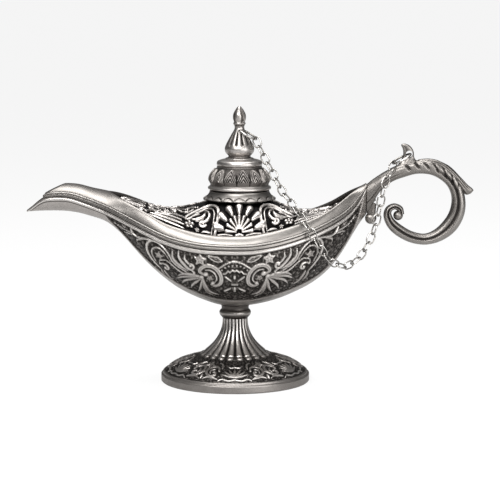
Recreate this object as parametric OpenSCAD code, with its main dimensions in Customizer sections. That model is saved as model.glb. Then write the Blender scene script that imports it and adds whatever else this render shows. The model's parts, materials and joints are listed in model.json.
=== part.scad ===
// Genie oil lamp of cast and antiqued metal, with a chained lid.
// The origin is the centre of the ring that the foot rests on. The spout
// points along -X, the handle along +X, and Z is up. All sizes are in mm.

/* [Foot] */
// Diameter of the foot
foot_d = 67; // [56:0.5:76]
// Height of the plain band round the foot
foot_band_h = 3.5; // [2:0.1:5]
// Height of the foot and its stem
foot_h = 28.5; // [26:0.5:34]
// Diameter of the stem at its narrow top
stem_d = 11.2; // [10.4:0.2:13]
// Wall of the foot casting
foot_wall = 2.2; // [1.8:0.1:2.8]
// Diameter of the bead on the stem collar
bead_d = 14.2; // [13:0.1:16]
// Height of the stem collar
stem_collar_h = 6; // [5:0.5:8]

/* [Tie rod] */
// Diameter of the tie rod
rod_d = 4; // [3:0.5:5]
// Clearance of the rod in the castings, each side
rod_gap = 0.15; // [0.05:0.05:0.3]
// Height of the nut on the tie rod
nut_h = 3.2; // [2:0.1:4]
// Width of the nut across its flats
nut_w = 7; // [6:0.5:8]
// Thickness of the washer
washer_t = 0.8; // [0.5:0.1:1.2]
// Diameter of the washer
washer_d = 9; // [8:0.5:10]

/* [Hull] */
// Width of the hull at its middle
hull_w = 62; // [56:1:70]
// Distance from the foot's axis forward to the tip of the spout
spout_reach = 93.3; // [86:0.1:100]
// Distance from the foot's axis back to the stern
stern_reach = 58.8; // [55:0.1:64]
// Height of the middle of the hull, from the stem collar to the parting line
hull_h = 28.3; // [26:0.1:32]
// Wall of the two shells
shell_wall = 1.8; // [1.4:0.1:2.4]
// Gap at the parting line of the two shells
parting_gap = 0.3; // [0.1:0.1:0.6]
// Diameter of the boss that takes the tie rod
boss_d = 10; // [8:0.5:12]
// Height of that boss inside the hull
boss_h = 8; // [6:0.5:10]

/* [Deck] */
// Thickness of the carved deck plate
deck_t = 1.6; // [1.2:0.1:2.4]
// Gap between the deck plate and the rim round it
deck_gap = 0.25; // [0.1:0.05:0.4]
// Height of the neck's seat above the parting line at the middle
neck_rise = 19.7; // [18.5:0.1:21]
// Distance of the lid's axis behind the foot's axis
lid_x = 2; // [0:0.1:3]

/* [Neck and lid] */
// Diameter of the flared neck collar at its foot
neck_foot_d = 32.4; // [31:0.1:34]
// Diameter of the neck collar at its top
neck_top_d = 26.8; // [26:0.1:29]
// Height of the neck collar
neck_h = 3.6; // [3:0.1:6]
// Bore of the neck
neck_bore_d = 22; // [19:0.1:23]
// Clearance of the plug in the neck, each side
plug_fit = 0.08; // [0.03:0.01:0.1]
// Depth of the plug in the neck
plug_h = 7.5; // [5:0.5:9]
// Wall of the plug
plug_wall = 1.5; // [1:0.1:2]
// Gap between the lid and the neck collar
lid_gap = 0.3; // [0.2:0.05:0.5]
// Diameter of the lid at its bulge
lid_d = 28.4; // [27:0.1:31]
// Height of the lid casting
lid_h = 14.5; // [13:0.1:17]
// Diameter of the flange on top of the lid
lid_top_d = 20.4; // [18:0.1:22]
// Wall of the lid casting
lid_wall = 2; // [1.5:0.1:2.5]

/* [Finial] */
// Height of the finial
finial_h = 23.2; // [20:0.1:27]
// Diameter of the finial's bulb
bulb_d = 13.2; // [12:0.1:15]
// Diameter of the finial at its neck
finial_neck_d = 5; // [4.4:0.1:6]
// Height of the ring's hole above the foot of the finial
finial_hole_z = 12.6; // [11.5:0.1:13.5]
// Diameter of the holes that the jump rings pass through
ring_hole_d = 3.2; // [3:0.1:3.4]
// Diameter of the finial's screw
finial_screw_d = 3; // [2:0.5:4]

/* [Chain] */
// Distance from one link's joint to the next
link_pitch = 4.3; // [4.2:0.01:4.4]
// Thickness of the links' wire
link_wire = 0.75; // [0.6:0.05:0.8]
// Outer width of a link
link_w = 4.1; // [3.8:0.1:4.4]
// Play where two links meet
link_play = 0.2; // [0.15:0.05:0.25]
// Play where the end links meet the jump rings
ring_play = 0.4; // [0.3:0.05:0.5]
// Diameter of the jump rings over their wire
ring_d = 10; // [9:0.1:10.6]
// Thickness of the jump rings' wire
ring_wire = 0.95; // [0.8:0.05:1]

/* [Handle] */
// Width of the handle's bar
handle_w = 6.6; // [5.6:0.1:8]
// Thickness of the thorn leaf with the ring's hole
thorn_w = 2.2; // [1.8:0.1:2.4]
// Diameter of the screw that holds the handle
handle_screw_d = 3; // [2:0.5:3.5]
// Clearance of that screw, each side
screw_gap = 0.1; // [0.05:0.05:0.2]

/* [Hidden] */
link_count = 31;
LINKS = [for (i = [1 : link_count]) str("link_", i < 10 ? "0" : "", i)];
$fn = 64;
cut = 1;

// Heights of the seats, from the foot up
foot_r = foot_d / 2;
hull_z = foot_h + stem_collar_h;
part_z = hull_z + hull_h;
neck_z = part_z + neck_rise;
collar_top_z = neck_z + neck_h;
lid_z = collar_top_z + lid_gap;
finial_z = lid_z + lid_h;

// The hull's lines are drawn at these sizes and follow the chosen ones
drawn_fore = 93.3;
drawn_aft = 58.8;
drawn_w = 62;
drawn_h = 28.3;

// Half-width of the hull in plan, as [x, half-width]
plan = [[-93.3, 1.6], [-91, 3.6], [-85, 6], [-77, 7], [-68, 8.3], [-60, 11], [-50, 16], [-40, 21.3],
    [-30, 25.4], [-20, 28.5], [-10, 30.4], [0, 31], [10, 30.4], [20, 28.2], [30, 24.3], [38, 19.6],
    [45, 14.6], [51, 9.8], [56, 5.2], [58.8, 2.6]];
// Height of the keel above the collar
keel = [[-93.3, 42.2], [-85, 42.7], [-78, 42.7], [-71, 42], [-64.5, 40.3], [-57.6, 38.2], [-54.8, 36.3],
    [-50.8, 32.7], [-40.5, 20.9], [-34.4, 15.1], [-24.9, 7.9], [-13.4, 2.6], [-5, 0.2], [0, 0], [5, 0.2],
    [12.3, 1.4], [20.2, 3.6], [28.6, 7.2], [34, 10], [40.9, 15.2], [44.9, 19.6], [49.4, 26.2],
    [54.2, 34.6], [58.8, 41]];
// Height of the parting line above the collar
sheer = [[-93.3, 42.9], [-91, 44.6], [-85, 49], [-76, 49.4], [-67, 47], [-56.7, 43.5], [-43, 37.4],
    [-30, 31.8], [-22, 29.8], [-12, 28.5], [0, 28.2], [5, 28.2], [16, 29.5], [27, 32], [36, 34.9],
    [44, 38.2], [51, 42.2], [55, 46.4], [58.8, 53.5]];
// Height of the rim's inner edge, and of the ridge of the spout's roof
rim = [[-85.5, 50.6], [-81.4, 53], [-76, 55], [-71, 54.8], [-64.3, 53], [-56, 51.3], [-53, 50.3],
    [-43, 45.7], [-37, 42.8], [-31, 39.6], [-23, 37.2], [-14.7, 35.4], [-5, 34.4], [4, 34.4], [13, 35.6],
    [21.5, 37.4], [27, 38.9], [35.6, 41.6], [44.3, 45.8], [51, 50.7], [58.8, 55]];
// Half-width of the opening inside the rim, as a share of the hull's
opening = [[-57, 0], [-56.4, 0.22], [-54.5, 0.5], [-51, 0.68], [-45, 0.8], [-36, 0.86], [0, 0.86],
    [40, 0.86], [50, 0.84], [54, 0.7], [56.4, 0.35], [57, 0]];
// Height of the middle of the deck above the collar
ridge = [[-57, 49.6], [-50, 48.4], [-43, 46.6], [-36, 44.9], [-30, 44], [-23, 44.8], [-14, 47.6], [0, 51.6],
    [18, 47.6], [25, 44.2], [33, 42.8], [40, 43], [46, 44.4], [51, 48], [57, 52]];

// Smooth curve through points [x, v], read at x
function span(t, x, i = 0) = i >= len(t) - 2 || x < t[i + 1][0] ? i : span(t, x, i + 1);
function rise(t, i) = (t[i + 1][1] - t[i][1]) / (t[i + 1][0] - t[i][0]);
function slope(t, i) = i == 0 ? rise(t, 0)
    : i == len(t) - 1 ? rise(t, i - 1)
    : rise(t, i - 1) * rise(t, i) <= 0 ? 0
    : 2 * rise(t, i - 1) * rise(t, i) / (rise(t, i - 1) + rise(t, i));
function fair(t, x) =
    let (i = span(t, x), w = t[i + 1][0] - t[i][0], u = max(0, min(1, (x - t[i][0]) / w)))
    t[i][1] * (1 + 2 * u) * (1 - u) ^ 2 + slope(t, i) * w * u * (1 - u) ^ 2
    + t[i + 1][1] * u ^ 2 * (3 - 2 * u) - slope(t, i + 1) * w * u ^ 2 * (1 - u);

// The hull's lines at the chosen sizes
function drawn_x(x) = x < 0 ? x * drawn_fore / spout_reach : x * drawn_aft / stern_reach;
function chosen_x(x) = x < 0 ? x * spout_reach / drawn_fore : x * stern_reach / drawn_aft;
function half_w(x) = fair(plan, drawn_x(x)) * hull_w / drawn_w;
function above(t, x) = hull_z + fair(t, drawn_x(x)) * hull_h / drawn_h;
function keel_z(x) = above(keel, x);
function sheer_z(x) = above(sheer, x);
function rim_z(x) = above(rim, x);
function open_w(x) = half_w(x) * fair(opening, drawn_x(x));

// Solid between rings of points, closed at both ends
module loft(rings) {
    n = len(rings[0]);
    m = len(rings);
    polyhedron(
        points = [for (r = rings) for (p = r) p],
        faces = concat(
            [[for (i = [n - 1 : -1 : 0]) i]],
            [for (k = [0 : m - 2]) for (i = [0 : n - 1]) [k * n + i, k * n + (i + 1) % n, (k + 1) * n + i]],
            [for (k = [0 : m - 2]) for (i = [0 : n - 1])
                [k * n + (i + 1) % n, (k + 1) * n + (i + 1) % n, (k + 1) * n + i]],
            [[for (i = [0 : n - 1]) (m - 1) * n + i]]));
}

// Stations along the hull, closer at the spout's lip and at the stern
stations = concat([-93.3, -91.5, -89, -87, -85], [for (x = [-82 : 4 : 46]) x], [48.5, 51, 53, 55, 57, 58.8]);
hull_steps = 9;

// Half section of the bowl from the parting line to the keel, grown inward by in
function bowl(x, in, lift) =
    let (w = max(0.4, half_w(x) - in), top = sheer_z(x), d = max(0.3, top - keel_z(x) - in))
    [for (k = [2 * hull_steps : -1 : 0])
        let (a = 90 * k / hull_steps, c = cos(a), edge = k == 0 || k == 2 * hull_steps ? lift : 0)
        [x, -w * sign(c) * abs(c) ^ 0.86, top + edge - d * sin(a) ^ 0.92]];

module bowl_solid(in, lift, from, to) {
    loft([for (s = stations) let (x = chosen_x(s)) if (x >= from && x <= to) bowl(x, in, lift)]);
}

// Foot with a hollow underside: a shallow cone up to cone_z, then the stem
cone_z = 12.9;
function foot_line(in) =
    [[foot_r - in, 0], [foot_r - in, foot_band_h - in * 0.3],
    [foot_r * 0.97 - in, foot_band_h + 1 - in * 0.8],
    [foot_r * 0.82 - in * 0.4, cone_z * 0.636 - in], [foot_r * 0.59, cone_z * 0.837 - in],
    [foot_r * 0.42, cone_z - in]];

module foot() {
    color("#8d8986") difference() {
        rotate_extrude() polygon(concat([[0, 0]], foot_line(0),
            [for (k = [0 : 8]) let (u = k / 8)
                [stem_d / 2 + (foot_r * 0.4 - stem_d / 2) * (1 - u) ^ 2.3,
                cone_z + (foot_h - cone_z) * (0.06 + 0.94 * u)]],
            [[0, foot_h]]));
        rotate_extrude() polygon(concat([[0, -cut], [foot_r - foot_wall, -cut]], foot_line(foot_wall),
            [[0, cone_z - foot_wall]]));
        cylinder(d = rod_d + 2 * rod_gap, h = foot_h + cut);
    }
}

module stem_collar() {
    color("#a5a19d") translate([0, 0, foot_h]) difference() {
        rotate_extrude() polygon([[0, 0], [stem_d * 0.5, 0], [bead_d * 0.47, stem_collar_h * 0.2],
            [bead_d * 0.5, stem_collar_h * 0.34], [bead_d * 0.5, stem_collar_h * 0.46],
            [bead_d * 0.47, stem_collar_h * 0.58], [stem_d * 0.55, stem_collar_h * 0.66],
            [stem_d * 0.55, stem_collar_h], [0, stem_collar_h]]);
        translate([0, 0, -cut]) cylinder(d = rod_d + 2 * rod_gap, h = stem_collar_h + 2 * cut);
    }
}

nut_top_z = cone_z - foot_wall;
rod_grip = boss_h * 0.7;
module tie_rod() {
    color("#77736f") translate([0, 0, nut_top_z - washer_t - nut_h - 1])
        cylinder(d = rod_d, h = 1 + nut_h + washer_t + hull_z - nut_top_z + rod_grip);
}

module tie_washer() {
    color("#85817d") translate([0, 0, nut_top_z - washer_t]) difference() {
        cylinder(d = washer_d, h = washer_t);
        translate([0, 0, -cut]) cylinder(d = rod_d + 2 * rod_gap, h = washer_t + 2 * cut);
    }
}

module tie_nut() {
    color("#85817d") translate([0, 0, nut_top_z - washer_t - nut_h]) difference() {
        cylinder(d = nut_w / cos(30), h = nut_h, $fn = 6);
        translate([0, 0, -cut]) cylinder(d = rod_d + 2 * rod_gap, h = nut_h + 2 * cut);
    }
}

// The handle's screw runs up through the stern into the handle's root
stern_in = 53;
screw_tilt = 36;
screw_grip = 4.5;
screw_head_t = 1.4;
screw_head_d = 1.7 * handle_screw_d;
screw_head_z = (stern_reach - chosen_x(stern_in)) / cos(screw_tilt) + 1.6;
module at_screw() {
    translate([stern_reach, 0, part_z + 17.5]) rotate([0, 90 - screw_tilt, 0]) children();
}

module lower_shell() {
    color("#7d7976") difference() {
        union() {
            difference() {
                bowl_solid(0, 0, -spout_reach, stern_reach);
                bowl_solid(shell_wall, 3, -spout_reach, chosen_x(stern_in) + 0.1);
            }
            translate([0, 0, hull_z]) cylinder(d = boss_d, h = boss_h);
        }
        translate([0, 0, hull_z - cut]) cylinder(d = rod_d + 2 * rod_gap, h = rod_grip + cut + 0.3);
        translate([-boss_d, -boss_d, hull_z - 2 * cut]) cube([2 * boss_d, 2 * boss_d, 2 * cut]);
        at_screw() translate([0, 0, -screw_head_z - cut]) {
            cylinder(d = handle_screw_d + 2 * screw_gap, h = screw_head_z + 3 * cut);
            translate([0, 0, -screw_head_t])
                cylinder(d = screw_head_d + 2 * screw_gap, h = screw_head_t + cut);
        }
    }
}

// Section of the upper shell from the parting line over the rim, grown inward by in
band_start = 2.5;
band_steps = 6;
function cap_section(x, in, lift) =
    let (w = half_w(x), k = open_w(x), z0 = sheer_z(x), base = z0 + lift, z1 = z0 + band_start,
        z2 = rim_z(x), side = concat(
            [[w, base], [w, z0 + 1.2], [w * 0.985, z0 + 1.9], [w * 0.985, z1]],
            [for (j = [1 : band_steps]) let (u = j / band_steps)
                [k + (w * 0.97 - k) * (1 - u ^ 1.25), z1 + (z2 - z1) * sin(90 * u)]]))
    concat(
        [for (p = side) [x, -max(p[0] - in, 0.05), min(p[1], z2) - (p[1] > base + 0.01 ? in : 0)]],
        [for (j = [len(side) - 1 : -1 : 0]) let (p = side[j])
            [x, max(p[0] - in, 0.05), min(p[1], z2) - (p[1] > base + 0.01 ? in : 0)]]);

cap_stations = concat([-85.5, -83.5, -81, -78.5], [for (x = [-75 : 3 : 48]) x], [50, 52, 54, 56, 57.5, 58.8]);
module cap_solid(in, lift, from, to) {
    within = [for (s = cap_stations) if (s > from && s < to) s];
    loft([for (s = concat([from], within, [to])) cap_section(chosen_x(s), in, lift)]);
}

// Upright cutter of the opening for the deck, which trims the rim's inner edge
rim_trim = 0.15;
module opening_cutter() {
    xs = concat([-56.9, -56.4, -55.5], [for (x = [-54 : 3 : 51]) x], [53, 54.5, 56, 56.9]);
    side = [for (s = xs) let (x = chosen_x(s)) [x, open_w(x) + rim_trim]];
    translate([0, 0, hull_z]) linear_extrude(3 * hull_h)
        polygon(concat([for (p = side) [p[0], -p[1]]], [for (j = [len(side) - 1 : -1 : 0]) side[j]]));
}

module upper_shell() {
    color("#a8a39e") difference() {
        cap_solid(0, parting_gap, -85.5, drawn_aft);
        cap_solid(shell_wall, -3, -86.5, 50);
        opening_cutter();
    }
}

// Deck: a saddle that climbs from the rim to the ridge and to the neck's seat
deck_edge_drop = 1.2;
deck_across = 8;
function deck_z(x, v) =
    let (edge = rim_z(x) - deck_edge_drop, top = above(ridge, x))
    edge + (top - edge) * sqrt(max(0, 1 - v ^ 2));
deck_stations = concat([-54, -50], [for (x = [-45 : 6 : 45]) x], [50, 54]);
module deck_skin() {
    loft([for (s = deck_stations) let (x = chosen_x(s), w = max(0.5, open_w(x) - deck_gap))
        concat(
            [for (j = [0 : 2 * deck_across]) let (v = sin(90 * (j / deck_across - 1)))
                [x, w * v, deck_z(x, v)]],
            [for (j = [2 * deck_across : -1 : 0]) let (v = sin(90 * (j / deck_across - 1)))
                [x, (w - min(deck_t, w / 2)) * v, deck_z(x, v) - deck_t]])]);
}

// The dome is cut flat for the neck collar, which stands on a ring under the cut
seat_ring_h = 3;
module deck_plate() {
    seat_r = neck_foot_d / 2;
    color("#4f4b49") difference() {
        union() {
            deck_skin();
            translate([lid_x, 0, neck_z - seat_ring_h]) cylinder(r = seat_r - 0.4, h = seat_ring_h);
        }
        translate([lid_x, 0, neck_z]) cylinder(r = seat_r + 1.5, h = 10);
        translate([lid_x, 0, neck_z - 10]) cylinder(d = neck_bore_d + 1, h = 20);
    }
}

module neck_collar() {
    r0 = neck_foot_d / 2;
    r1 = neck_top_d / 2;
    color("#a8a39e") translate([lid_x, 0, neck_z]) difference() {
        rotate_extrude() polygon(concat([[0, 0], [r0, 0], [r0, 0.6]],
            [for (k = [1 : 8]) let (u = k / 8) [r1 + (r0 - r1) * (1 - u) ^ 1.7, 0.6 + (neck_h - 0.6) * u]],
            [[0, neck_h]]));
        translate([0, 0, -cut]) cylinder(d = neck_bore_d, h = neck_h + 2 * cut);
    }
}

// Lid casting with its outline from the undercut foot to the top flange
plug_r = neck_bore_d / 2 - plug_fit;
lid_cavity_r = lid_top_d / 2 - 0.6;
lid_roof_t = lid_wall + 1.6;
module lid() {
    r = lid_d / 2;
    t = lid_top_d / 2;
    color("#8d8986") translate([lid_x, 0, lid_z]) difference() {
        rotate_extrude() polygon(concat([[0, 0], [r - 2, 0], [r - 1.4, 0.7], [r - 0.3, 0.7], [r - 0.2, 1.2],
            [r - 0.4, 2], [r - 0.9, 2.3]],
            [for (k = [0 : 8]) let (u = k / 8)
                [t - 0.8 + (r - t + 0.8) * cos(90 * abs(u - 0.32) / 0.76), 2.4 + (lid_h - 6.2) * u]],
            [[t - 0.4, lid_h - 3.7], [t, lid_h - 3.2], [t, lid_h - 1.9], [t - 0.6, lid_h - 1.1],
            [t - 3.4, lid_h - 0.5], [t - 4.4, lid_h], [0, lid_h]]));
        translate([0, 0, -cut]) cylinder(r = lid_cavity_r, h = lid_h - lid_roof_t + cut);
        cylinder(d = finial_screw_d + 2 * rod_gap, h = lid_h + cut);
    }
}

// Plug: a cup seated inside the lid, whose skirt is a close fit in the neck's bore
plug_seat_h = 3;
module lid_plug() {
    color("#8a8683") translate([lid_x, 0, lid_z]) {
        difference() {
            union() {
                translate([0, 0, -plug_h]) cylinder(r = plug_r, h = plug_h);
                cylinder(r = lid_cavity_r - 0.05, h = plug_seat_h);
            }
            translate([0, 0, -plug_h - cut])
                cylinder(r = plug_r - plug_wall, h = plug_h + cut + plug_seat_h - plug_wall);
        }
    }
}

// Outline of the finial, as [radius, height]
function finial_line() =
    let (b = bulb_d / 2, n = finial_neck_d / 2, s = finial_h)
    [[0, 0], [b * 0.74, 0], [b * 0.78, s * 0.02], [b * 0.74, s * 0.04], [b * 0.93, s * 0.095],
    [b, s * 0.16], [b * 0.97, s * 0.215], [b * 0.88, s * 0.275], [b * 0.72, s * 0.36], [b * 0.55, s * 0.45],
    [n * 1.12, s * 0.52], [n, s * 0.575], [n * 0.98, s * 0.62], [n * 1.13, s * 0.68], [n * 1.16, s * 0.73],
    [n * 1.1, s * 0.82], [n * 0.82, s * 0.9], [n * 0.4, s * 0.97], [0, s]];

module finial() {
    color("#9a9692") translate([lid_x, 0, finial_z]) difference() {
        rotate_extrude() polygon(finial_line());
        translate([0, bulb_d, finial_hole_z]) rotate([90, 0, 0]) cylinder(d = ring_hole_d, h = 2 * bulb_d);
        translate([0, 0, -cut]) cylinder(d = finial_screw_d + 2 * rod_gap, h = finial_screw_grip + cut + 0.3);
    }
}

finial_screw_grip = 5;
finial_head_h = 1.6;
module finial_screw() {
    color("#77736f") translate([lid_x, 0, finial_z]) {
        translate([0, 0, -lid_roof_t]) cylinder(d = finial_screw_d, h = lid_roof_t + finial_screw_grip);
        translate([0, 0, -lid_roof_t - finial_head_h]) cylinder(d = 2 * finial_screw_d, h = finial_head_h);
    }
}

// Jump rings: each passes through its hole and is turned to where the chain takes it
ring_r = (ring_d - ring_wire) / 2;
finial_hole = [lid_x, 0, finial_z + finial_hole_z];
drawn_part_z = 62.8;
handle_shift = [stern_reach - drawn_aft, 0, part_z - drawn_part_z];
handle_hole = [77.9, 0, 102.5] + handle_shift;
finial_ring_dir = unit([8, -0.8, -4.6]);
handle_ring_dir = unit([-8, -4.4, -4.4]);
finial_ring_roll = 95;
handle_ring_roll = 86;
function unit(v) = v / norm(v);
// How far a ring bows over the thickness w that its hole goes through
function bow(w) = ring_r - sqrt(ring_r ^ 2 - w ^ 2 / 4);
finial_ring_mid = finial_hole + (ring_r - bow(finial_neck_d) / 2) * finial_ring_dir;
handle_ring_mid = handle_hole + (ring_r - bow(thorn_w) / 2) * handle_ring_dir;
first_pull = unit([0.4, -0.3, -0.9]);
last_pull = unit([0.3, 0.3, 0.9]);
finial_hook = finial_ring_mid + ring_r * finial_ring_dir
    - (ring_wire + ring_play) / 2 * unit(finial_ring_dir + first_pull);
handle_hook = handle_ring_mid + ring_r * handle_ring_dir
    + (ring_wire + ring_play) / 2 * unit(last_pull - handle_ring_dir);

// Frame with its x axis along d, turned about it by roll from the view direction
module along(p, d, roll = 0) {
    e1 = unit(d);
    e2 = unit(cross([0, 1, 0], e1));
    e3 = cross(e1, e2);
    f2 = cos(roll) * e2 + sin(roll) * e3;
    f3 = cross(e1, f2);
    multmatrix([[e1[0], f2[0], f3[0], p[0]], [e1[1], f2[1], f3[1], p[1]], [e1[2], f2[2], f3[2], p[2]]])
        children();
}

module jump_ring(mid, dir, roll) {
    along(mid, dir, roll)
        rotate_extrude() translate([ring_r, 0]) circle(d = ring_wire, $fn = 20);
}

module finial_ring() {
    color("#d8d6d4") jump_ring(finial_ring_mid, finial_ring_dir, finial_ring_roll);
}

module handle_ring() {
    color("#d8d6d4") jump_ring(handle_ring_mid, handle_ring_dir, handle_ring_roll);
}

// Route of the chain from the finial's ring over the rim to the handle's ring
hang = [[12.6, -4, 102.4], [16.4, -7.6, 95.8], [20.2, -12, 88.4], [25, -17.4, 82.4],
    [29.2, -21.9, 76.7], [32.7, -25, 72.2], [35.6, -26.4, 67.4], [39, -25.4, 61.6], [43.6, -22.4, 56.6],
    [49.6, -18.4, 54.8], [54.6, -14.8, 57.6], [58.6, -12, 62.4], [62, -10, 69.8], [64.2, -9.2, 78.4],
    [65.8, -8.8, 86.4], [67.8, -7.4, 93]];
// The chain lies along the hull's flank, so it moves out with the hull's width
route = concat([finial_hook], [for (p = hang) [p[0], p[1] * hull_w / drawn_w, p[2]]], [handle_hook]);

// Smooth curve through the points P, as steps points a span and the last point
function bend(a, b, c, d, u) =
    0.5 * (2 * b + (c - a) * u + (2 * a - 5 * b + 4 * c - d) * u ^ 2 + (3 * b - a - 3 * c + d) * u ^ 3);
function smooth(P, steps) = let (n = len(P) - 1) concat(
    [for (i = [0 : n - 1]) for (s = [0 : steps - 1])
        bend(P[max(0, i - 1)], P[i], P[i + 1], P[min(n, i + 2)], s / steps)],
    [P[n]]);

// Joints of the chain: stepped along the route a pitch at a time, then drawn to the handle's ring
function step_on(a, b, c) =
    let (d = b - a, f = a - c, A = d * d, B = 2 * f * d, C = f * f - link_pitch ^ 2)
    a + d * (-B + sqrt(max(0, B ^ 2 - 4 * A * C))) / (2 * A);
function next_joint(P, c, i) =
    i >= len(P) - 2 || norm(P[i + 1] - c) >= link_pitch ? [step_on(P[i], P[i + 1], c), i]
    : next_joint(P, c, i + 1);
function march(P, c, i, n) =
    n == 0 ? [c] : let (q = next_joint(P, c, i)) concat([c], march(P, q[0], q[1], n - 1));
line = smooth(route, 14);
tail = line[len(line) - 1];
marched = march(concat(line, [tail + 40 * unit(tail - line[len(line) - 4])]), line[0], 0, link_count);
miss = handle_hook - marched[link_count];
joints = [for (k = [0 : link_count]) marched[k] + miss * k / link_count];

// Link as one bent wire: two half rounds and two straights
link_roll = 20;
link_arc_steps = 5;
link_sides = 6;
module link(k) {
    a = joints[k - 1];
    b = joints[k];
    r = (link_w - link_wire) / 2;
    s = (norm(b - a) + link_play + link_wire) / 2 - r;
    n = 2 * (link_arc_steps + 1);
    color("#dcdad8") along((a + b) / 2, b - a, k % 2 == 1 ? link_roll : link_roll + 90)
        polyhedron(
            points = [for (side = [1, -1]) for (i = [0 : link_arc_steps])
                for (q = [0 : link_sides - 1])
                let (t = 180 * i / link_arc_steps - 90 * side, c = 360 * q / link_sides,
                    d = r + link_wire / 2 * cos(c))
                [side * s + d * cos(t), d * sin(t), link_wire / 2 * sin(c)]],
            faces = [for (i = [0 : n - 1]) for (q = [0 : link_sides - 1])
                let (i2 = (i + 1) % n, q2 = (q + 1) % link_sides)
                for (f = [[i * link_sides + q, i2 * link_sides + q, i * link_sides + q2],
                    [i2 * link_sides + q, i2 * link_sides + q2, i * link_sides + q2]]) f]);
}

// Handle, as its outer edge [x, z], its inner edge [x, z] and its half-width
handle_edges = [
    [59, 89, 59, 75.8, 0.4], [62, 91.4, 61, 78.6, 0.46], [66.3, 94.2, 64.8, 85.4, 0.54],
    [71.5, 97, 70.2, 90, 0.52], [77, 98.9, 76.4, 92.4, 0.5], [82.5, 99.8, 82, 93.7, 0.5],
    [89.5, 99, 88.3, 93, 0.5], [96.5, 95, 93.6, 89.8, 0.5], [101.3, 89, 96.3, 85.9, 0.5],
    [103.3, 81.5, 97.1, 81.3, 0.5], [102.6, 74.5, 96, 76.2, 0.5], [99, 68, 93.2, 71.8, 0.49],
    [93, 63.6, 89.3, 68.2, 0.48], [86, 61.7, 85, 66.6, 0.46], [79, 62.6, 79.8, 67.6, 0.44],
    [73, 65.5, 75.4, 70, 0.42], [68.6, 69.5, 71.6, 73, 0.4], [66.6, 74.5, 70.2, 75.5, 0.37],
    [67.8, 78.6, 70.4, 76.9, 0.34], [71.4, 80.3, 71.6, 77.6, 0.32], [75, 78.8, 73, 76.9, 0.32],
    [75.9, 75.6, 73.4, 75.6, 0.32]];
handle_sides = 12;
thorn = [[70.6, 95.6], [74.2, 99.2], [75.2, 102], [75.2, 104.6], [74.3, 106.2], [75.4, 107.3],
    [77.4, 106.8], [79.2, 105.2], [80.1, 102.8], [80.2, 100.6], [82.6, 98.8], [80, 95.4]];
leaf = [[81, 98], [83, 100.2], [90, 99.8], [96.5, 96.3], [101, 91.8], [104, 88.8], [106.7, 87.2],
    [105.4, 85.2], [102.8, 83], [101.5, 86.4], [97.4, 92.2], [90, 97]];

module bar(edges, steps) {
    loft([for (e = smooth(edges, steps))
        [for (k = [0 : handle_sides - 1])
            let (a = 360 * k / handle_sides, c = sign(cos(a)) * abs(cos(a)) ^ 0.8,
                s = sign(sin(a)) * abs(sin(a)) ^ 0.8, m = [(e[0] + e[2]) / 2, (e[1] + e[3]) / 2],
                h = [(e[0] - e[2]) / 2, (e[1] - e[3]) / 2])
            [m[0] + h[0] * c, e[4] * handle_w * s, m[1] + h[1] * c]]]);
}

module plate(outline, w) {
    rotate([90, 0, 0]) linear_extrude(w, center = true) polygon(outline);
}

module handle() {
    color("#8a8683") difference() {
        translate(handle_shift) {
            bar(handle_edges, 3);
            translate([73.2, 0, 74.9]) rotate([90, 0, 0]) cylinder(r = 2.2, h = 5, center = true);
            translate([60.9, 0, 73.6]) rotate([90, 0, 0]) cylinder(r = 2.6, h = 4.4, center = true);
            plate([[59.2, 76], [58.9, 80], [62, 82], [63.4, 76], [62.6, 73]], 3.6);
            plate(smooth(thorn, 3), thorn_w);
            plate(smooth(leaf, 3), handle_w * 0.62);
        }
        translate(handle_hole + [0, thorn_w, 0]) rotate([90, 0, 0])
            cylinder(d = ring_hole_d, h = 2 * thorn_w);
        at_screw() translate([0, 0, -screw_head_z])
            cylinder(d = handle_screw_d + 2 * screw_gap, h = screw_head_z + screw_grip + 0.3);
    }
}

module handle_screw() {
    color("#77736f") at_screw() {
        translate([0, 0, -screw_head_z - screw_head_t / 2])
            cylinder(d = handle_screw_d, h = screw_head_z + screw_grip + screw_head_t / 2);
        translate([0, 0, -screw_head_z - screw_head_t]) cylinder(d = screw_head_d, h = screw_head_t);
    }
}

foot();
stem_collar();
tie_rod();
tie_washer();
tie_nut();
lower_shell();
upper_shell();
deck_plate();
neck_collar();
lid();
lid_plug();
finial();
finial_screw();
finial_ring();
handle_ring();
handle();
handle_screw();
for (k = [1 : link_count]) link(k);
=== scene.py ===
import json
import math

import bpy
import numpy as np
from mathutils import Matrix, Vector


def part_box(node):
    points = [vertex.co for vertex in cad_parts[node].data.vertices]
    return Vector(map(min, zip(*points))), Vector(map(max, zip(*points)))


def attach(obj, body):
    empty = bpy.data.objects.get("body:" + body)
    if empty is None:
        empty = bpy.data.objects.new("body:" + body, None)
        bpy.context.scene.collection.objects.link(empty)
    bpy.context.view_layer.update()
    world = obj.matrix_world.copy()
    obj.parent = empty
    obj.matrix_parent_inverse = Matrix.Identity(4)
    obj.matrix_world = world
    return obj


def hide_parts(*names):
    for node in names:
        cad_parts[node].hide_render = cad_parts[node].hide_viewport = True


bl_info = {
    "name": "Genie oil lamp",
    "version": (1, 0, 0),
    "blender": (4, 5, 0),
    "location": "View3D > Sidebar > Lamp",
    "description": "Castings, carving and chain of an antiqued oil lamp, on its packed frame",
    "category": "Object",
}

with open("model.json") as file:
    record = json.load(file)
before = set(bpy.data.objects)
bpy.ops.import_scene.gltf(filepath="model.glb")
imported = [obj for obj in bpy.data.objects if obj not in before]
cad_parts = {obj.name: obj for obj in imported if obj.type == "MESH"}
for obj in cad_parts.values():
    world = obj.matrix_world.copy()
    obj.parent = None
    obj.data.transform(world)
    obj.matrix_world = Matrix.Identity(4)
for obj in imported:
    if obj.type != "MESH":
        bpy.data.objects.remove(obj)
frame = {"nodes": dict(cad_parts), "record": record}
MM = 0.001


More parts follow.
